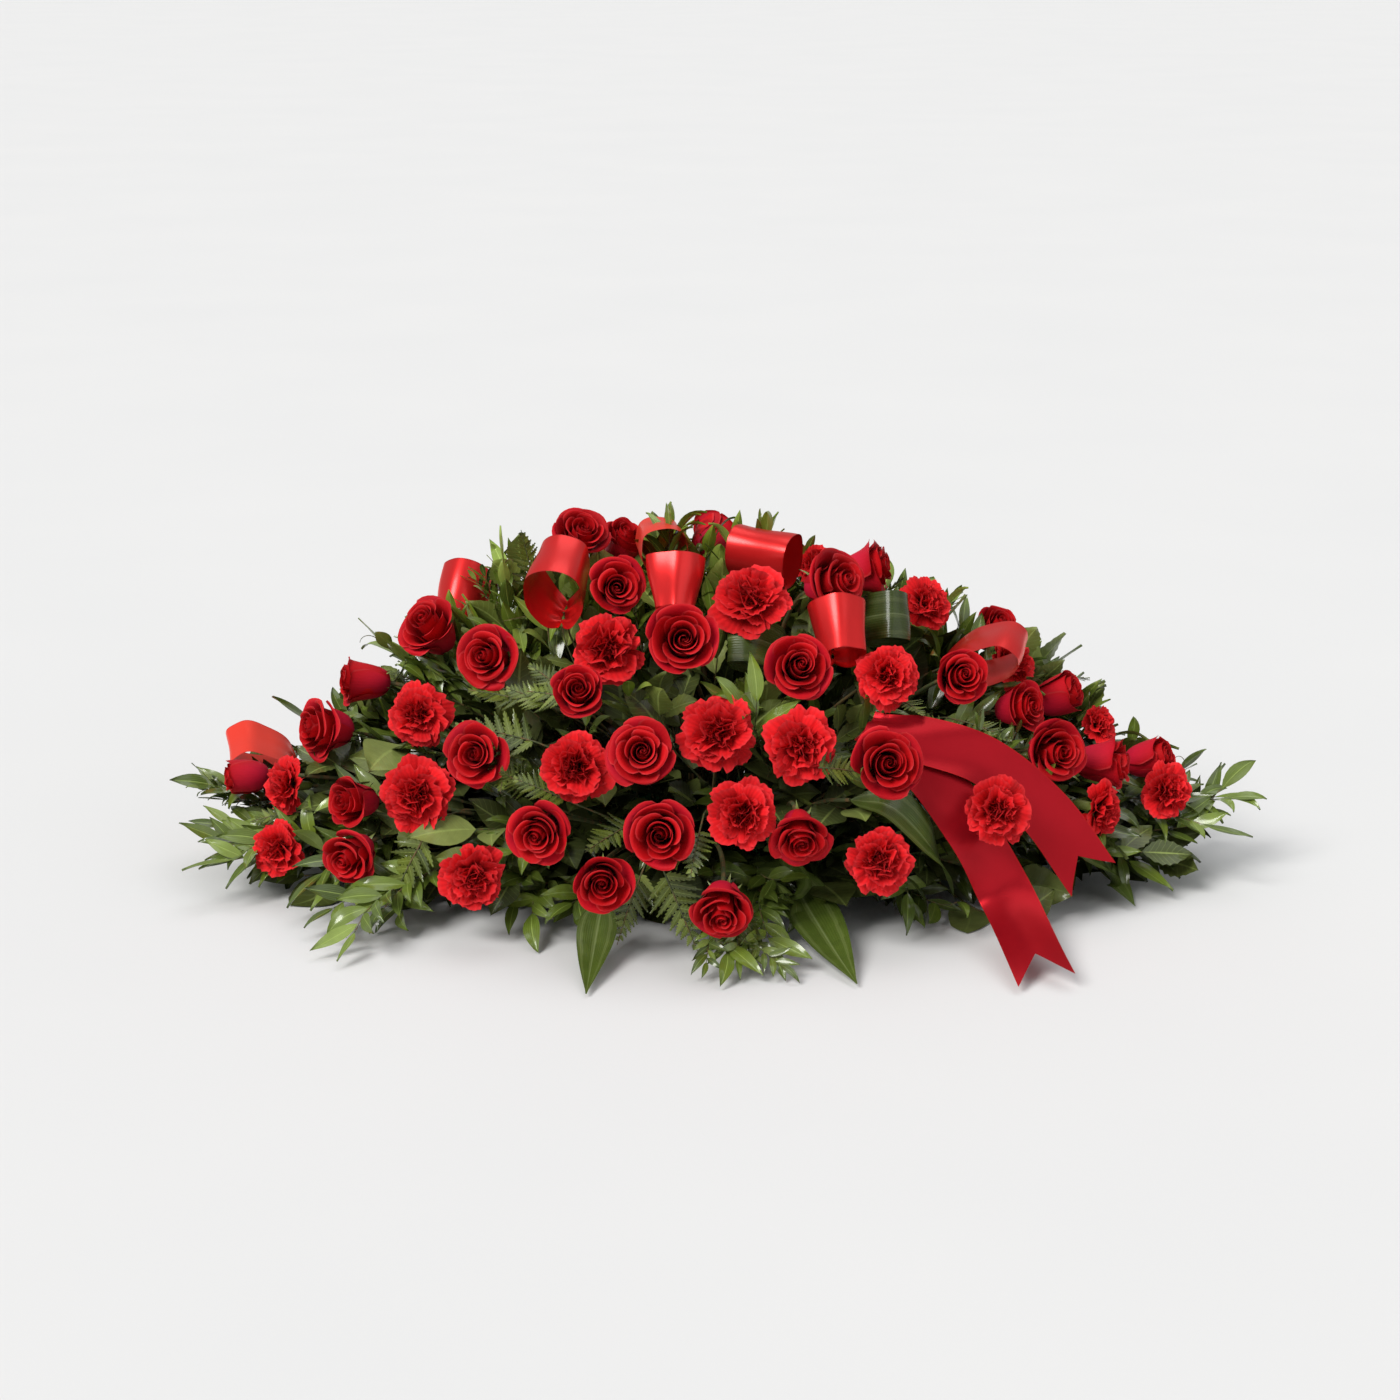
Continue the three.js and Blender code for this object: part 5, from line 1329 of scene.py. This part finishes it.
def satin_ribbon(colour):
    lacquer = {"Coat_Roughness": 0.24, "Coat_Tint": (1, 0.85, 0.8, 1)}
    paint = Paint("satin_ribbon", Specular_IOR_Level=0.3, Specular_Tint=(1, 0.4, 0.26, 1), **lacquer)
    across, along = paint.blade()
    weave = (across * 420).wave() * 0.5 + (along * 1500).wave() * 0.3 + paint.noise(900, 1) * 0.3
    hem = abs(across).rise(0.95, 0.985)
    tone = paint.attribute("tone")
    # Painted shade: a tone below 1, as on the tails, darkens the satin towards crimson.
    body = paint.mix(toward(shade(colour, 0.4), SHADED_CRIMSON, 0.5), colour, tone)
    # Painted light: a tone above 1 paints the loop lighter and salmon-orange.
    body = paint.mix(body, toward(colour, LIT_SALMON, 0.6), tone - 1)
    matt = tone.rise(1.1, 1.5)
    coat = (tone.rise(0.3, 1) - matt) * 0.42
    paint.set(paint.shader, {"Coat Weight": coat, "Metallic": 0.6 - matt * 0.4})
    body = paint.mix(body, shade(colour, 0.6), hem * 0.6)
    body = paint.scaled(body, 0.94 + paint.noise(40, 2) * 0.12)
    return paint.finish(body, 0.29 + paint.noise(120, 2) * 0.08, weave, 0.05, 0.0003)


def leaf_finish(name, colour, vein, dull, gloss, **constants):
    """A leaf: a pale rib, veins that run from it, a tone of its own, painted shade deep in the mound and
    painted light near its top line, and a waxy skin.
    """
    paint = Paint(name, **constants)
    across, along = paint.blade()
    tone, outer = paint.attribute("tone"), paint.attribute("outer")
    mottle = paint.noise(90, 3)
    body = paint.mix(shade(colour, 0.45), toward(shade(colour, 1.3), FRESH_LEAF, 0.16), tone)
    pale = tone.rise(0.84, 0.94) * 0.6
    body = paint.mix(body, toward(shade(colour, 1.5), PALE_LEAF, 0.4), pale)
    rib = 1 - abs(across).rise(0.03, 0.1)
    veins = vein(across, along, mottle)
    body = paint.mix(body, shade(toward(colour, PALE_RIB, 0.35), 1.2), rib * 0.65)
    body = paint.mix(body, shade(toward(colour, PALE_VEIN, 0.3), 1.1), veins * 0.25)
    # Painted shade and light: the outer share darkens a leaf deep in the mound and lightens one near the
    # top line; the mottle is its own uneven tone.
    body = paint.scaled(body, (0.82 + mottle * 0.5) * (0.26 + outer * 0.86))
    height = rib * -0.6 + veins * -0.5 + paint.noise(700, 2) * 0.5
    return paint.finish(body, dull - gloss * mottle, height, 0.35, 0.0006)


def straight_veins(across, along, mottle):
    return (across * 26 + mottle * 1.2).wave().rise(0.55, 1)


def side_veins(across, along, mottle):
    return ((along * 9 - abs(across) * 1.6) * 6.283 + mottle * 1.2).wave().rise(0.8, 1)


def ruscus_leaf(colour):
    gloss = {"Specular_IOR_Level": 0.35, "Coat_Weight": 1.0, "Coat_Roughness": 0.17}
    return leaf_finish("ruscus_leaf", colour, straight_veins, 0.56, 0.2, **gloss)


def salal_leaf(colour):
    wax = {"Specular_IOR_Level": 0.35, "Coat_Weight": 0.6, "Coat_Roughness": 0.2}
    return leaf_finish("salal_leaf", colour, side_veins, 0.62, 0.2, **wax)


def fern_frond(colour):
    gloss = {"Specular_IOR_Level": 0.3, "Coat_Weight": 0.5, "Coat_Roughness": 0.17}
    return leaf_finish("fern_frond", colour, side_veins, 0.6, 0.12, **gloss)


def ti_leaf(colour):
    paint = Paint("ti_leaf", Specular_IOR_Level=0.3, Coat_Roughness=0.15)
    across, _ = paint.blade()
    mottle = paint.noise(60, 3)
    ribs = (across * 60 + mottle * 0.8).wave()
    broad = (across * 9 + mottle * 2).wave()
    body = paint.mix(shade(colour, 0.6), shade(colour, 1.5), mottle)
    body = paint.mix(body, shade(toward(colour, TI_BAND, 0.4), 1.2), broad.rise(0.4, 1) * 0.3)
    rib = 1 - abs(across).rise(0.01, 0.05)
    body = paint.mix(body, toward(colour, TI_RIB, 0.5), rib * 0.7)
    tone = paint.attribute("tone")
    body = paint.scaled(body, 1.2 - tone * 0.7 + tone.rise(1.05, 1.2, 0, 0.5))
    paint.set(paint.shader, {"Coat Weight": tone.rise(1.05, 1.2, 0.3, 0.02)})
    height = ribs * 0.6 + rib * 0.5 + paint.noise(500, 2) * 0.4
    return paint.finish(body, 0.42 - mottle * 0.14, height, 0.3, 0.0006)


def green_stem(colour):
    paint = Paint("green_stem", Specular_IOR_Level=0.35)
    grain = paint.noise(160, 3, (1, 1, 0.2))
    body = paint.mix(shade(colour, 0.7), toward(colour, WOODY, 0.55), grain.rise(0.42, 0.62))
    return paint.finish(body, 0.6, paint.noise(900, 2), 0.25, 0.0005)


def tray_plastic(colour):
    paint = Paint("tray_plastic", Specular_IOR_Level=0.45)
    grain, wear = paint.noise(2600, 1), paint.noise(30, 4)
    body = paint.mix(shade(colour, 0.8), shade(colour, 1.3), wear)
    return paint.finish(body, 0.42 + wear * 0.16, grain, 0.12, 0.0003)


def floral_foam(colour):
    paint = Paint("floral_foam", Specular_IOR_Level=0.2)
    cell, damp = paint.cells(900), paint.noise(24, 3)
    body = paint.mix(shade(colour, 0.55), shade(colour, 1.2), cell.rise(0.1, 0.6))
    body = paint.scaled(body, 0.75 + damp * 0.4)
    return paint.finish(body, 0.9 - damp * 0.12, cell, 0.6, 0.0008)


MAKERS = (
    rose_petal, carnation_petal, satin_ribbon, ruscus_leaf, salal_leaf, fern_frond, ti_leaf,
    green_stem, tray_plastic, floral_foam,
)
FINISHES = {}


def finish_for(name):
    """The material of a name, made the first time that it is asked for."""
    if name not in FINISHES:
        makers = {maker.__name__: maker for maker in MAKERS}
        FINISHES[name] = makers[name](tuple(getattr(bpy.context.scene.spray, name)))
    return FINISHES[name]


# Settings


def colour_property(name, description, default):
    return FloatVectorProperty(
        name=name, description=description, default=default, subtype="COLOR", size=3, min=0, max=1
    )


def width_property(name, description, default):
    return FloatProperty(name=name, description=description, default=default, min=0, unit="LENGTH")


def count_property(name, description, default):
    return IntProperty(name=name, description=description, default=default, min=0)


class SpraySettings(bpy.types.PropertyGroup):
    rose_petal: colour_property("Rose", "Colour of a lit rose petal", (0.48, 0.005, 0.008))
    carnation_petal: colour_property("Carnation", "Colour of a lit petal", (0.74, 0.014, 0.018))
    satin_ribbon: colour_property("Ribbon", "Colour of the satin", (0.74, 0.022, 0.024))
    ruscus_leaf: colour_property("Ruscus", "Colour of the slim leaves", (0.088, 0.145, 0.014))
    salal_leaf: colour_property("Salal", "Colour of the broad leaves", (0.095, 0.128, 0.028))
    fern_frond: colour_property("Fern", "Colour of the fronds", (0.07, 0.105, 0.012))
    ti_leaf: colour_property("Ti leaf", "Colour of the long leaves", (0.06, 0.09, 0.013))
    green_stem: colour_property("Stems", "Colour of the stems", (0.1, 0.13, 0.05))
    tray_plastic: colour_property("Tray", "Colour of the tray", (0.015, 0.05, 0.02))
    floral_foam: colour_property("Foam", "Colour of the soaked foam", (0.04, 0.16, 0.06))
    ribbon_width: width_property("Ribbon width", "Width of the loops' ribbon", 0.066)
    tail_width: width_property("Tail width", "Width of the tails' ribbon", 0.056)
    rose_openness: FloatProperty(
        name="Openness", description="How far the roses are open", default=0.85, min=0, max=1
    )
    inner_sprigs: count_property("Inner sprigs", "Broad-leaved sprigs that hide the foam", 140)
    outer_sprigs: count_property("Outer sprigs", "Sprigs between the blooms", 200)
    ridge_sprigs: count_property("Ridge sprigs", "Sprigs along the top line", 120)
    skirt_sprigs: count_property("Skirt sprigs", "Low sprigs that hide the tray", 90)
    core_sprigs: count_property("Core sprigs", "Broad-leaved sprigs under the top line", 110)
    scattered_fronds: count_property("Scattered fronds", "Short fronds between the blooms", 44)


# Operators: each makes one kind of piece.


FLOOR_REACH = 40
FLOOR_PALE = ((0.7, 0.704, 0.708), (0.73, 0.73, 0.73))
BACKDROP_PALE = (0.855, 0.86, 0.865, 1)
SKY_PALE = (0.97, 0.985, 1, 1)
SKY_STRENGTH = 0.36
SENSOR_WIDTH = 36

# Lights: the way that each comes from, how many degrees it spreads over, its strength and colour.
LIGHTS = {
    "key": ((-1.5, -1.7, 2.1), 28, 2.75, (1, 0.985, 0.96)),
    "top": ((0.5, 0.6, 2.6), 50, 0.75, (1, 1, 1)),
    "fill": ((2.2, -1.8, 1.0), 60, 0.5, (0.97, 0.98, 1)),
}


class SPRAY_OT_stage(bpy.types.Operator):
    """Make the floor, the soft lights and the camera"""

    bl_idname = "spray.stage"
    bl_label = "Stage"

    def execute(self, context):
        scene = context.scene
        self.add_floor()
        self.add_backdrop()
        lens = bpy.data.cameras.new("camera")
        lens.sensor_width = SENSOR_WIDTH
        lens.lens = SENSOR_WIDTH * EYE_DISTANCE / (GRID_STEPS * STEP_SIZE)
        camera = placed("camera", lens)
        camera.location = EYE
        camera.rotation_euler = (math.pi / 2 - TILT, 0, 0)
        scene.camera = camera
        for name, (way, spread, strength, colour) in LIGHTS.items():
            data = bpy.data.lights.new(name, "SUN")
            data.angle = math.radians(spread)
            data.energy = strength
            data.color = colour
            placed(name, data).rotation_euler = (-Vector(way)).to_track_quat("-Z", "Y").to_euler()
        scene.view_settings.view_transform = "Standard"
        scene.world = bpy.data.worlds.new("soft")
        scene.world.use_nodes = True
        sky = scene.world.node_tree.nodes["Background"].inputs
        sky["Color"].default_value = SKY_PALE
        sky["Strength"].default_value = SKY_STRENGTH
        return {"FINISHED"}

    def add_floor(self):
        bm = bmesh.new()
        bmesh.ops.create_grid(bm, x_segments=4, y_segments=4, size=FLOOR_REACH)
        bmesh.ops.translate(bm, verts=bm.verts, vec=(0, 0, -FLOOR_GAP / 3))
        floor = placed("floor", mesh_of("floor", bm))
        paint = Paint("floor_paper", Specular_IOR_Level=0.1)
        tint = paint.mix(*FLOOR_PALE, paint.noise(2, 2))
        floor.data.materials.append(paint.finish(tint, 0.9, paint.noise(300, 2), 0.02, 0.001))

    def add_backdrop(self):
        """A far wall all round, as pale as the floor, that is seen and lights nothing."""
        bm = bmesh.new()
        reach = {"radius1": FLOOR_REACH, "radius2": FLOOR_REACH, "depth": 2 * FLOOR_REACH}
        bmesh.ops.create_cone(bm, segments=64, **reach)
        wall = placed("backdrop", mesh_of("backdrop", bm))
        for kind in ("diffuse", "glossy", "transmission", "volume_scatter", "shadow"):
            setattr(wall, "visible_" + kind, False)
        paint = Paint("backdrop_paper", Specular_IOR_Level=0.0, Emission_Strength=1.0)
        paint.set(paint.shader, {"Emission Color": BACKDROP_PALE})
        wall.data.materials.append(paint.finish((0, 0, 0, 1), 1.0))


class SPRAY_OT_base(bpy.types.Operator):
    """Finish the tray and the two foam bricks"""

    bl_idname = "spray.base"
    bl_label = "Tray and foam"

    def execute(self, context):
        foam = ("floral_foam_left", "floral_foam_right")
        for node in ("saddle_tray", *foam):
            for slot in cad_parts[node].material_slots:
                slot.material = finish_for("floral_foam" if node in foam else "tray_plastic")
        return {"FINISHED"}


class SPRAY_OT_roses(bpy.types.Operator):
    """Make the roses' petals"""

    bl_idname = "spray.roses"
    bl_label = "Roses"

    def execute(self, context):
        add_heads(ROSE_HEADS, 300, "rose_petal", add_rose)
        return {"FINISHED"}


class SPRAY_OT_carnations(bpy.types.Operator):
    """Make the carnations' petals"""

    bl_idname = "spray.carnations"
    bl_label = "Carnations"

    def execute(self, context):
        add_heads(CARNATION_HEADS, 500, "carnation_petal", add_carnation)
        return {"FINISHED"}


# The radius and height of a rose's cup, from the stem up.
ROSE_CUP = (
    (0, (0.035, -0.07)), (0.25, (0.075, -0.045)), (0.5, (0.09, -0.01)),
    (0.75, (0.075, 0.03)), (1, (0.12, 0.075)),
)
SEPALS = 5


class SPRAY_OT_flower_stems(bpy.types.Operator):
    """Make the stems, calyxes and sepals of the roses and carnations"""

    bl_idname = "spray.flower_stems"
    bl_label = "Flower stems"

    def execute(self, context):
        draw, lines, calyxes = Draw(41), [], new_growth()
        kinds = (
            (ROSE_HEADS, ROSE_STEM, 0.04, self.add_rose_calyx),
            (CARNATION_HEADS, CARNATION_STEM, 0.0, self.add_carnation_calyx),
        )
        for groups, radii, seat, _ in kinds:
            for name, heads in groups.items():
                for head in heads:
                    end = head.base + head.axis * (head.width * seat)
                    grow_stem(lines, ENTRIES[name], end, head.axis, draw, radii, 12)
        for groups, _, _, add_calyx in kinds:
            for head in [head for heads in groups.values() for head in heads]:
                matrix = standing(head.axis, head.base, head.width, draw(0, 6.3))
                add_calyx(calyxes, matrix, draw)
        add_stems("flower_stems", lines, "ruscus_leaf")
        piece_from("calyxes", calyxes, "salal_leaf")
        return {"FINISHED"}

    def add_rose_calyx(self, bm, matrix, draw):
        def cup(u, v):
            radius, height = grown(ROSE_CUP, v)
            return matrix @ round_axis(radius, math.pi * u, height)

        add_sheet(bm, 10, 4, cup, 0.6, 0.9)
        for k in range(SEPALS):
            turn = 2 * math.pi * k / SEPALS + draw(-0.2, 0.2)
            length, curl, twist = draw(0.2, 0.32), draw(1.0, 3.2), draw(-1, 1)

            def sepal(u, v):
                bend = curl * v
                out = 0.08 + length * (0.75 * v + 0.1 * math.sin(bend))
                height = 0.02 + length * (0.25 * math.sin(math.pi * v) - 0.16 * curl * v * v)
                half = 0.055 * (1 - v) ** 0.8 * (0.6 + 1.5 * v * (1 - v)) + 0.002
                height += 0.02 * abs(u) + twist * u * half * v
                return matrix @ (Matrix.Rotation(turn, 4, "Z") @ Vector((out, half * u, height)))

            add_sheet(bm, 2, 7, sepal, draw(0.7, 1.0), 1.0)

    def add_carnation_calyx(self, bm, matrix, _draw):
        def cup(u, v):
            radius = 0.055 + 0.035 * math.sin(math.pi * min(1, v * 1.1) / 2) ** 0.6
            height = -0.12 + 0.36 * v
            if v > 0.9:
                height += 0.045 * math.cos(5 * math.pi * u)
                radius += 0.02
            if v < 0.05:
                radius = 0.03
            return matrix @ round_axis(radius, math.pi * u, height)

        add_sheet(bm, 20, 6, cup, 0.7, 0.9)


PICK_GRIP = 0.004


class SPRAY_OT_ribbon(bpy.types.Operator):
    """Make the satin loops and the two tails"""

    bl_idname = "spray.ribbon"
    bl_label = "Ribbon"

    def execute(self, context):
        settings, picks, draw = context.scene.spray, [], Draw(61)
        for name, loops in LOOPS.items():
            for k, loop in enumerate(loops):
                line, _, rise, pinch = loop_frame(loop)
                suffix = "" if len(loops) == 1 else ("_upper", "_lower")[k]
                length, bm = line_length(line), new_growth()
                add_loop(bm, loop, settings.ribbon_width, Draw(610 + k + len(name)))
                piece = piece_from(name + suffix + "_satin", bm, "satin_ribbon", name)
                grow_stem(picks, ENTRIES[name], pinch + rise * PICK_GRIP, rise, draw, PICK)
        for suffix, (face, end_face, places) in zip(("upper", "lower"), TAILS):
            line, bm = line_through(places), new_growth()
            length = line_length(line)
            add_tail(bm, line, facing(*face), facing(*end_face), settings.tail_width)
            piece = piece_from("ribbon_tail_" + suffix, bm, "satin_ribbon", "ribbon_tails")
            entry, start = ENTRIES["ribbon_tails"], line(TAIL_START)
            grow_stem(picks, entry, start, (start - entry[0]).normalized(), draw, PICK)
        add_stems("ribbon_picks", picks, "ruscus_leaf")
        return {"FINISHED"}


TI_LOOP_WIDTH = 0.05


class SPRAY_OT_ti_leaves(bpy.types.Operator):
    """Make the rolled ti leaves and the long ones that lie under the blooms"""

    bl_idname = "spray.ti_leaves"
    bl_label = "Ti leaves"

    def execute(self, context):
        stalks, draw, bm = [], Draw(71), new_growth()
        entry = ENTRIES["ti_leaf_loops"]
        for k, loop in enumerate(TI_LOOPS):
            _, _, rise, pinch = loop_frame(loop)
            add_loop(bm, loop, TI_LOOP_WIDTH, Draw(710 + k))
            grow_stem(stalks, entry, pinch + rise * PICK_GRIP, rise, draw, ROLL_STALK)
        piece_from("ti_leaf_rolls", bm, "ti_leaf", "ti_leaf_loops")
        for name, leaves in TI_LEAVES.items():
            bm = new_growth()
            for width, face, places in leaves:
                line, half = line_through(places), width * MM / 2 * TI_SLIMNESS
                add_long_blade(bm, line, half, facing(*face), draw(-0.3, 0.3), draw)
                start, way = place_of(places[0]), ahead_of(line, 0)
                grow_stem(stalks, ENTRIES[name], start, way, draw, BLADE_STALK)
            piece_from(name + "_blades", bm, "ti_leaf", name)
        add_stems("ti_leaf_stalks", stalks, "ti_leaf")
        return {"FINISHED"}


TENDRIL_FROM = 0.1


class SPRAY_OT_leafy_greens(bpy.types.Operator):
    """Make the ruscus and salal stems that lead out of the mound"""

    bl_idname = "spray.leafy_greens"
    bl_label = "Ruscus and salal"

    def execute(self, context):
        self.add_groups(RUSCUS, RUSCUS_LEAF, "ruscus_leaf")
        self.add_groups(SALAL, SALAL_LEAF, "salal_leaf")
        return {"FINISHED"}

    def add_groups(self, groups, kind, slot):
        for index, (name, stems) in enumerate(groups.items()):
            bm, lines, draw = new_growth(), [], Draw(index * 17 + len(name))
            for *place, turn, upwards in stems:
                tip, axis = place_of(place), facing(turn, upwards)
                add_leafy_stem(bm, lines, kind, ENTRIES[name], tip, axis, draw)
                if kind is RUSCUS_LEAF and tip.z > TENDRIL_FROM:
                    start = tip - axis * (kind.length * 0.85)
                    lines.append((tendril(start, axis, draw), *TENDRIL))
            piece_from(name + "_leaves", bm, slot, name)
            add_stems(name + "_stems", lines, slot, name)


class SPRAY_OT_ferns(bpy.types.Operator):
    """Make the fern fronds"""

    bl_idname = "spray.ferns"
    bl_label = "Ferns"

    def execute(self, context):
        for index, (name, fronds) in enumerate(FERNS.items()):
            bm, lines, draw = new_growth(), [], Draw(810 + index)
            face = facing(180, 60) if name == "fern_back" else None
            for frond in fronds:
                self.add_rooted_frond(bm, lines, frond, draw, ENTRIES[name], face)
            piece_from(name + "_fronds", bm, "fern_frond", name)
            add_stems(name + "_ribs", lines, "fern_frond", name)
        bm, lines, draw = new_growth(), [], Draw(850)
        for frond in SMALL_FERNS:
            self.add_rooted_frond(bm, lines, frond, draw)
        for k in range(context.scene.spray.scattered_fronds):
            self.scatter_frond(bm, lines, k, draw)
        piece_from("small_ferns", bm, "fern_frond")
        add_stems("small_fern_ribs", lines, "fern_frond")
        return {"FINISHED"}

    def add_rooted_frond(self, bm, lines, frond, draw, entry=None, face=None):
        tip, foot, width = place_of(frond[0]), place_of(frond[1]), frond[2] * MM
        if face is None:
            face = skyward((tip + foot) / 2)
        add_frond(bm, lines, foot, tip, width, face, draw)
        axis = (tip - foot).normalized()
        grow_stem(lines, entry or foam_entry(foot), foot, axis, draw, FROND_STALK)

    def scatter_frond(self, bm, lines, k, draw):
        """A short frond between the blooms, left out where it would hide one."""
        x = (2 * spread(k, ACROSS_STEP, 0.11) - 1) * FROND_SPAN
        turn = math.pi * (0.06 + 0.88 * spread(k, TURN_STEP, 0.7))
        tip = on_layer(x, turn, draw(0.8, 0.95))
        away = (tip - heart_below(x)).normalized()
        way = (away * 0.35 + Vector((draw(-1, 1), draw(-1, 1), draw(-0.7, 0.5)))).normalized()
        foot = tip - way * draw(0.05, 0.085)
        spots = [foot + (tip - foot) * part for part in (0.2, 0.5, 0.8, 1)]
        low_wing = tip.z < 0.06 and abs(x) > 0.25
        if not low_wing and not any(is_taken(spot) or hides_bloom(spot) for spot in spots):
            add_frond(bm, lines, foot, tip, draw(0.045, 0.065), mound_normal(tip), draw)


# Layers of filling sprigs: how far out they reach, the bare share of a stem, how freely it turns,
# and its kinds of leaf. The settings hold how many sprigs each layer has.
LAYERS = {
    "inner": ((0.3, 0.6), 0.2, 0.35, "broad toothed"),
    "outer": ((0.64, 0.92), 0.45, 0.7, "slim toothed slim broad slim"),
    "ridge": ((0.88, 1.02), 0.5, 0.4, "slim toothed slim slim toothed"),
    "skirt": ((0.4, 0.72), 0.3, 0.4, "toothed slim broad"),
    "core": ((0.6, 0.9), 0.55, 0.3, "broad toothed"),
}
SPRIG_KINDS = {"slim": RUSCUS_LEAF, "toothed": ROSE_LEAF, "broad": SALAL_LEAF, "small": SPRIG_LEAF}


class SPRAY_OT_filler(bpy.types.Operator):
    """Fill the mound between the blooms with short sprigs"""

    bl_idname = "spray.filler"
    bl_label = "Filler greens"

    def execute(self, context):
        meshes, lines = defaultdict(new_growth), []

        def add_sprig(name, kind, tip, axis, draw, bare, clear=True):
            sprig = new_growth()
            entry = foam_entry(tip)
            add_leafy_stem(sprig, lines, SPRIG_KINDS[kind], entry, tip, axis, draw, bare, clear)
            slot = "ruscus_leaf" if kind in ("slim", "small") else "salal_leaf"
            join(meshes[name, slot], sprig)

        self.fill_layers(context.scene.spray, add_sprig)
        draw = Draw(977)
        for *place, turn, upwards, kind in SPRIGS:
            tip, bare = place_of(place), 0.7 if kind == "small" else 0.6
            clear = kind != "small" and tip.y < 0
            add_sprig("single_" + kind + "_leaves", kind, tip, facing(turn, upwards), draw, bare, clear)
        for (name, slot), bm in meshes.items():
            piece_from(name, bm, slot)
        add_stems("filler_stems", lines, "ruscus_leaf")
        return {"FINISHED"}

    def fill_layers(self, settings, add_sprig):
        draw = Draw(901)
        for index, (layer, (depth, bare, swing, kinds)) in enumerate(LAYERS.items()):
            kinds = kinds.split()
            for k in range(getattr(settings, layer + "_sprigs")):
                x = (2 * spread(k, ACROSS_STEP, 0.37 * index) - 1) * SPRIG_SPAN
                turn = math.pi * (0.03 + 0.94 * spread(k, TURN_STEP, 0.3))
                if layer == "skirt":
                    turn = math.pi * (0.02 + 0.2 * turn / math.pi)
                    turn = math.pi - turn if k % 3 == 0 else turn
                if layer in ("ridge", "core"):
                    tip = self.on_ridge(x * RIDGE_SHARE, draw(*depth), draw(-0.01, 0.13))
                else:
                    tip = on_layer(x, turn, draw(*depth))
                way = Vector((draw(-1, 1), draw(-1, 1), draw(-0.8, 0.6))) * swing
                axis = ((tip - heart_below(x)).normalized() + way).normalized()
                kind = kinds[k % len(kinds)]
                name = layer + ("_leaves" if kind == "slim" else "_broad_leaves")
                add_sprig(name, kind, tip, axis, draw, bare)

    def on_ridge(self, x, share, back):
        """A point near the mound's top line, `back` behind it."""
        return Vector((x, back * mound_depth(x, 1) / BACK, share * mound_height(x)))


class SPRAY_PT_panel(bpy.types.Panel):
    bl_label = "Casket Spray"
    bl_idname = "SPRAY_PT_panel"
    bl_space_type = "VIEW_3D"
    bl_region_type = "UI"
    bl_category = "Spray"

    def draw(self, context):
        for name in SpraySettings.__annotations__:
            self.layout.prop(context.scene.spray, name)
        for operator in OPERATORS:
            self.layout.operator(operator.bl_idname)


OPERATORS = (
    SPRAY_OT_stage,
    SPRAY_OT_base,
    SPRAY_OT_roses,
    SPRAY_OT_carnations,
    SPRAY_OT_flower_stems,
    SPRAY_OT_ribbon,
    SPRAY_OT_ti_leaves,
    SPRAY_OT_leafy_greens,
    SPRAY_OT_ferns,
    SPRAY_OT_filler,
)
CLASSES = (SpraySettings, *OPERATORS, SPRAY_PT_panel)


def register():
    for kind in CLASSES:
        bpy.utils.register_class(kind)
    bpy.types.Scene.spray = PointerProperty(type=SpraySettings)


def unregister():
    del bpy.types.Scene.spray
    for kind in reversed(CLASSES):
        bpy.utils.unregister_class(kind)


def main():
    register()
    bpy.ops.spray.stage()
    bpy.ops.spray.base()
    bpy.ops.spray.roses()
    bpy.ops.spray.carnations()
    bpy.ops.spray.flower_stems()
    bpy.ops.spray.ribbon()
    bpy.ops.spray.ti_leaves()
    bpy.ops.spray.leafy_greens()
    bpy.ops.spray.ferns()
    bpy.ops.spray.filler()


if __name__ == "__main__":
    main()
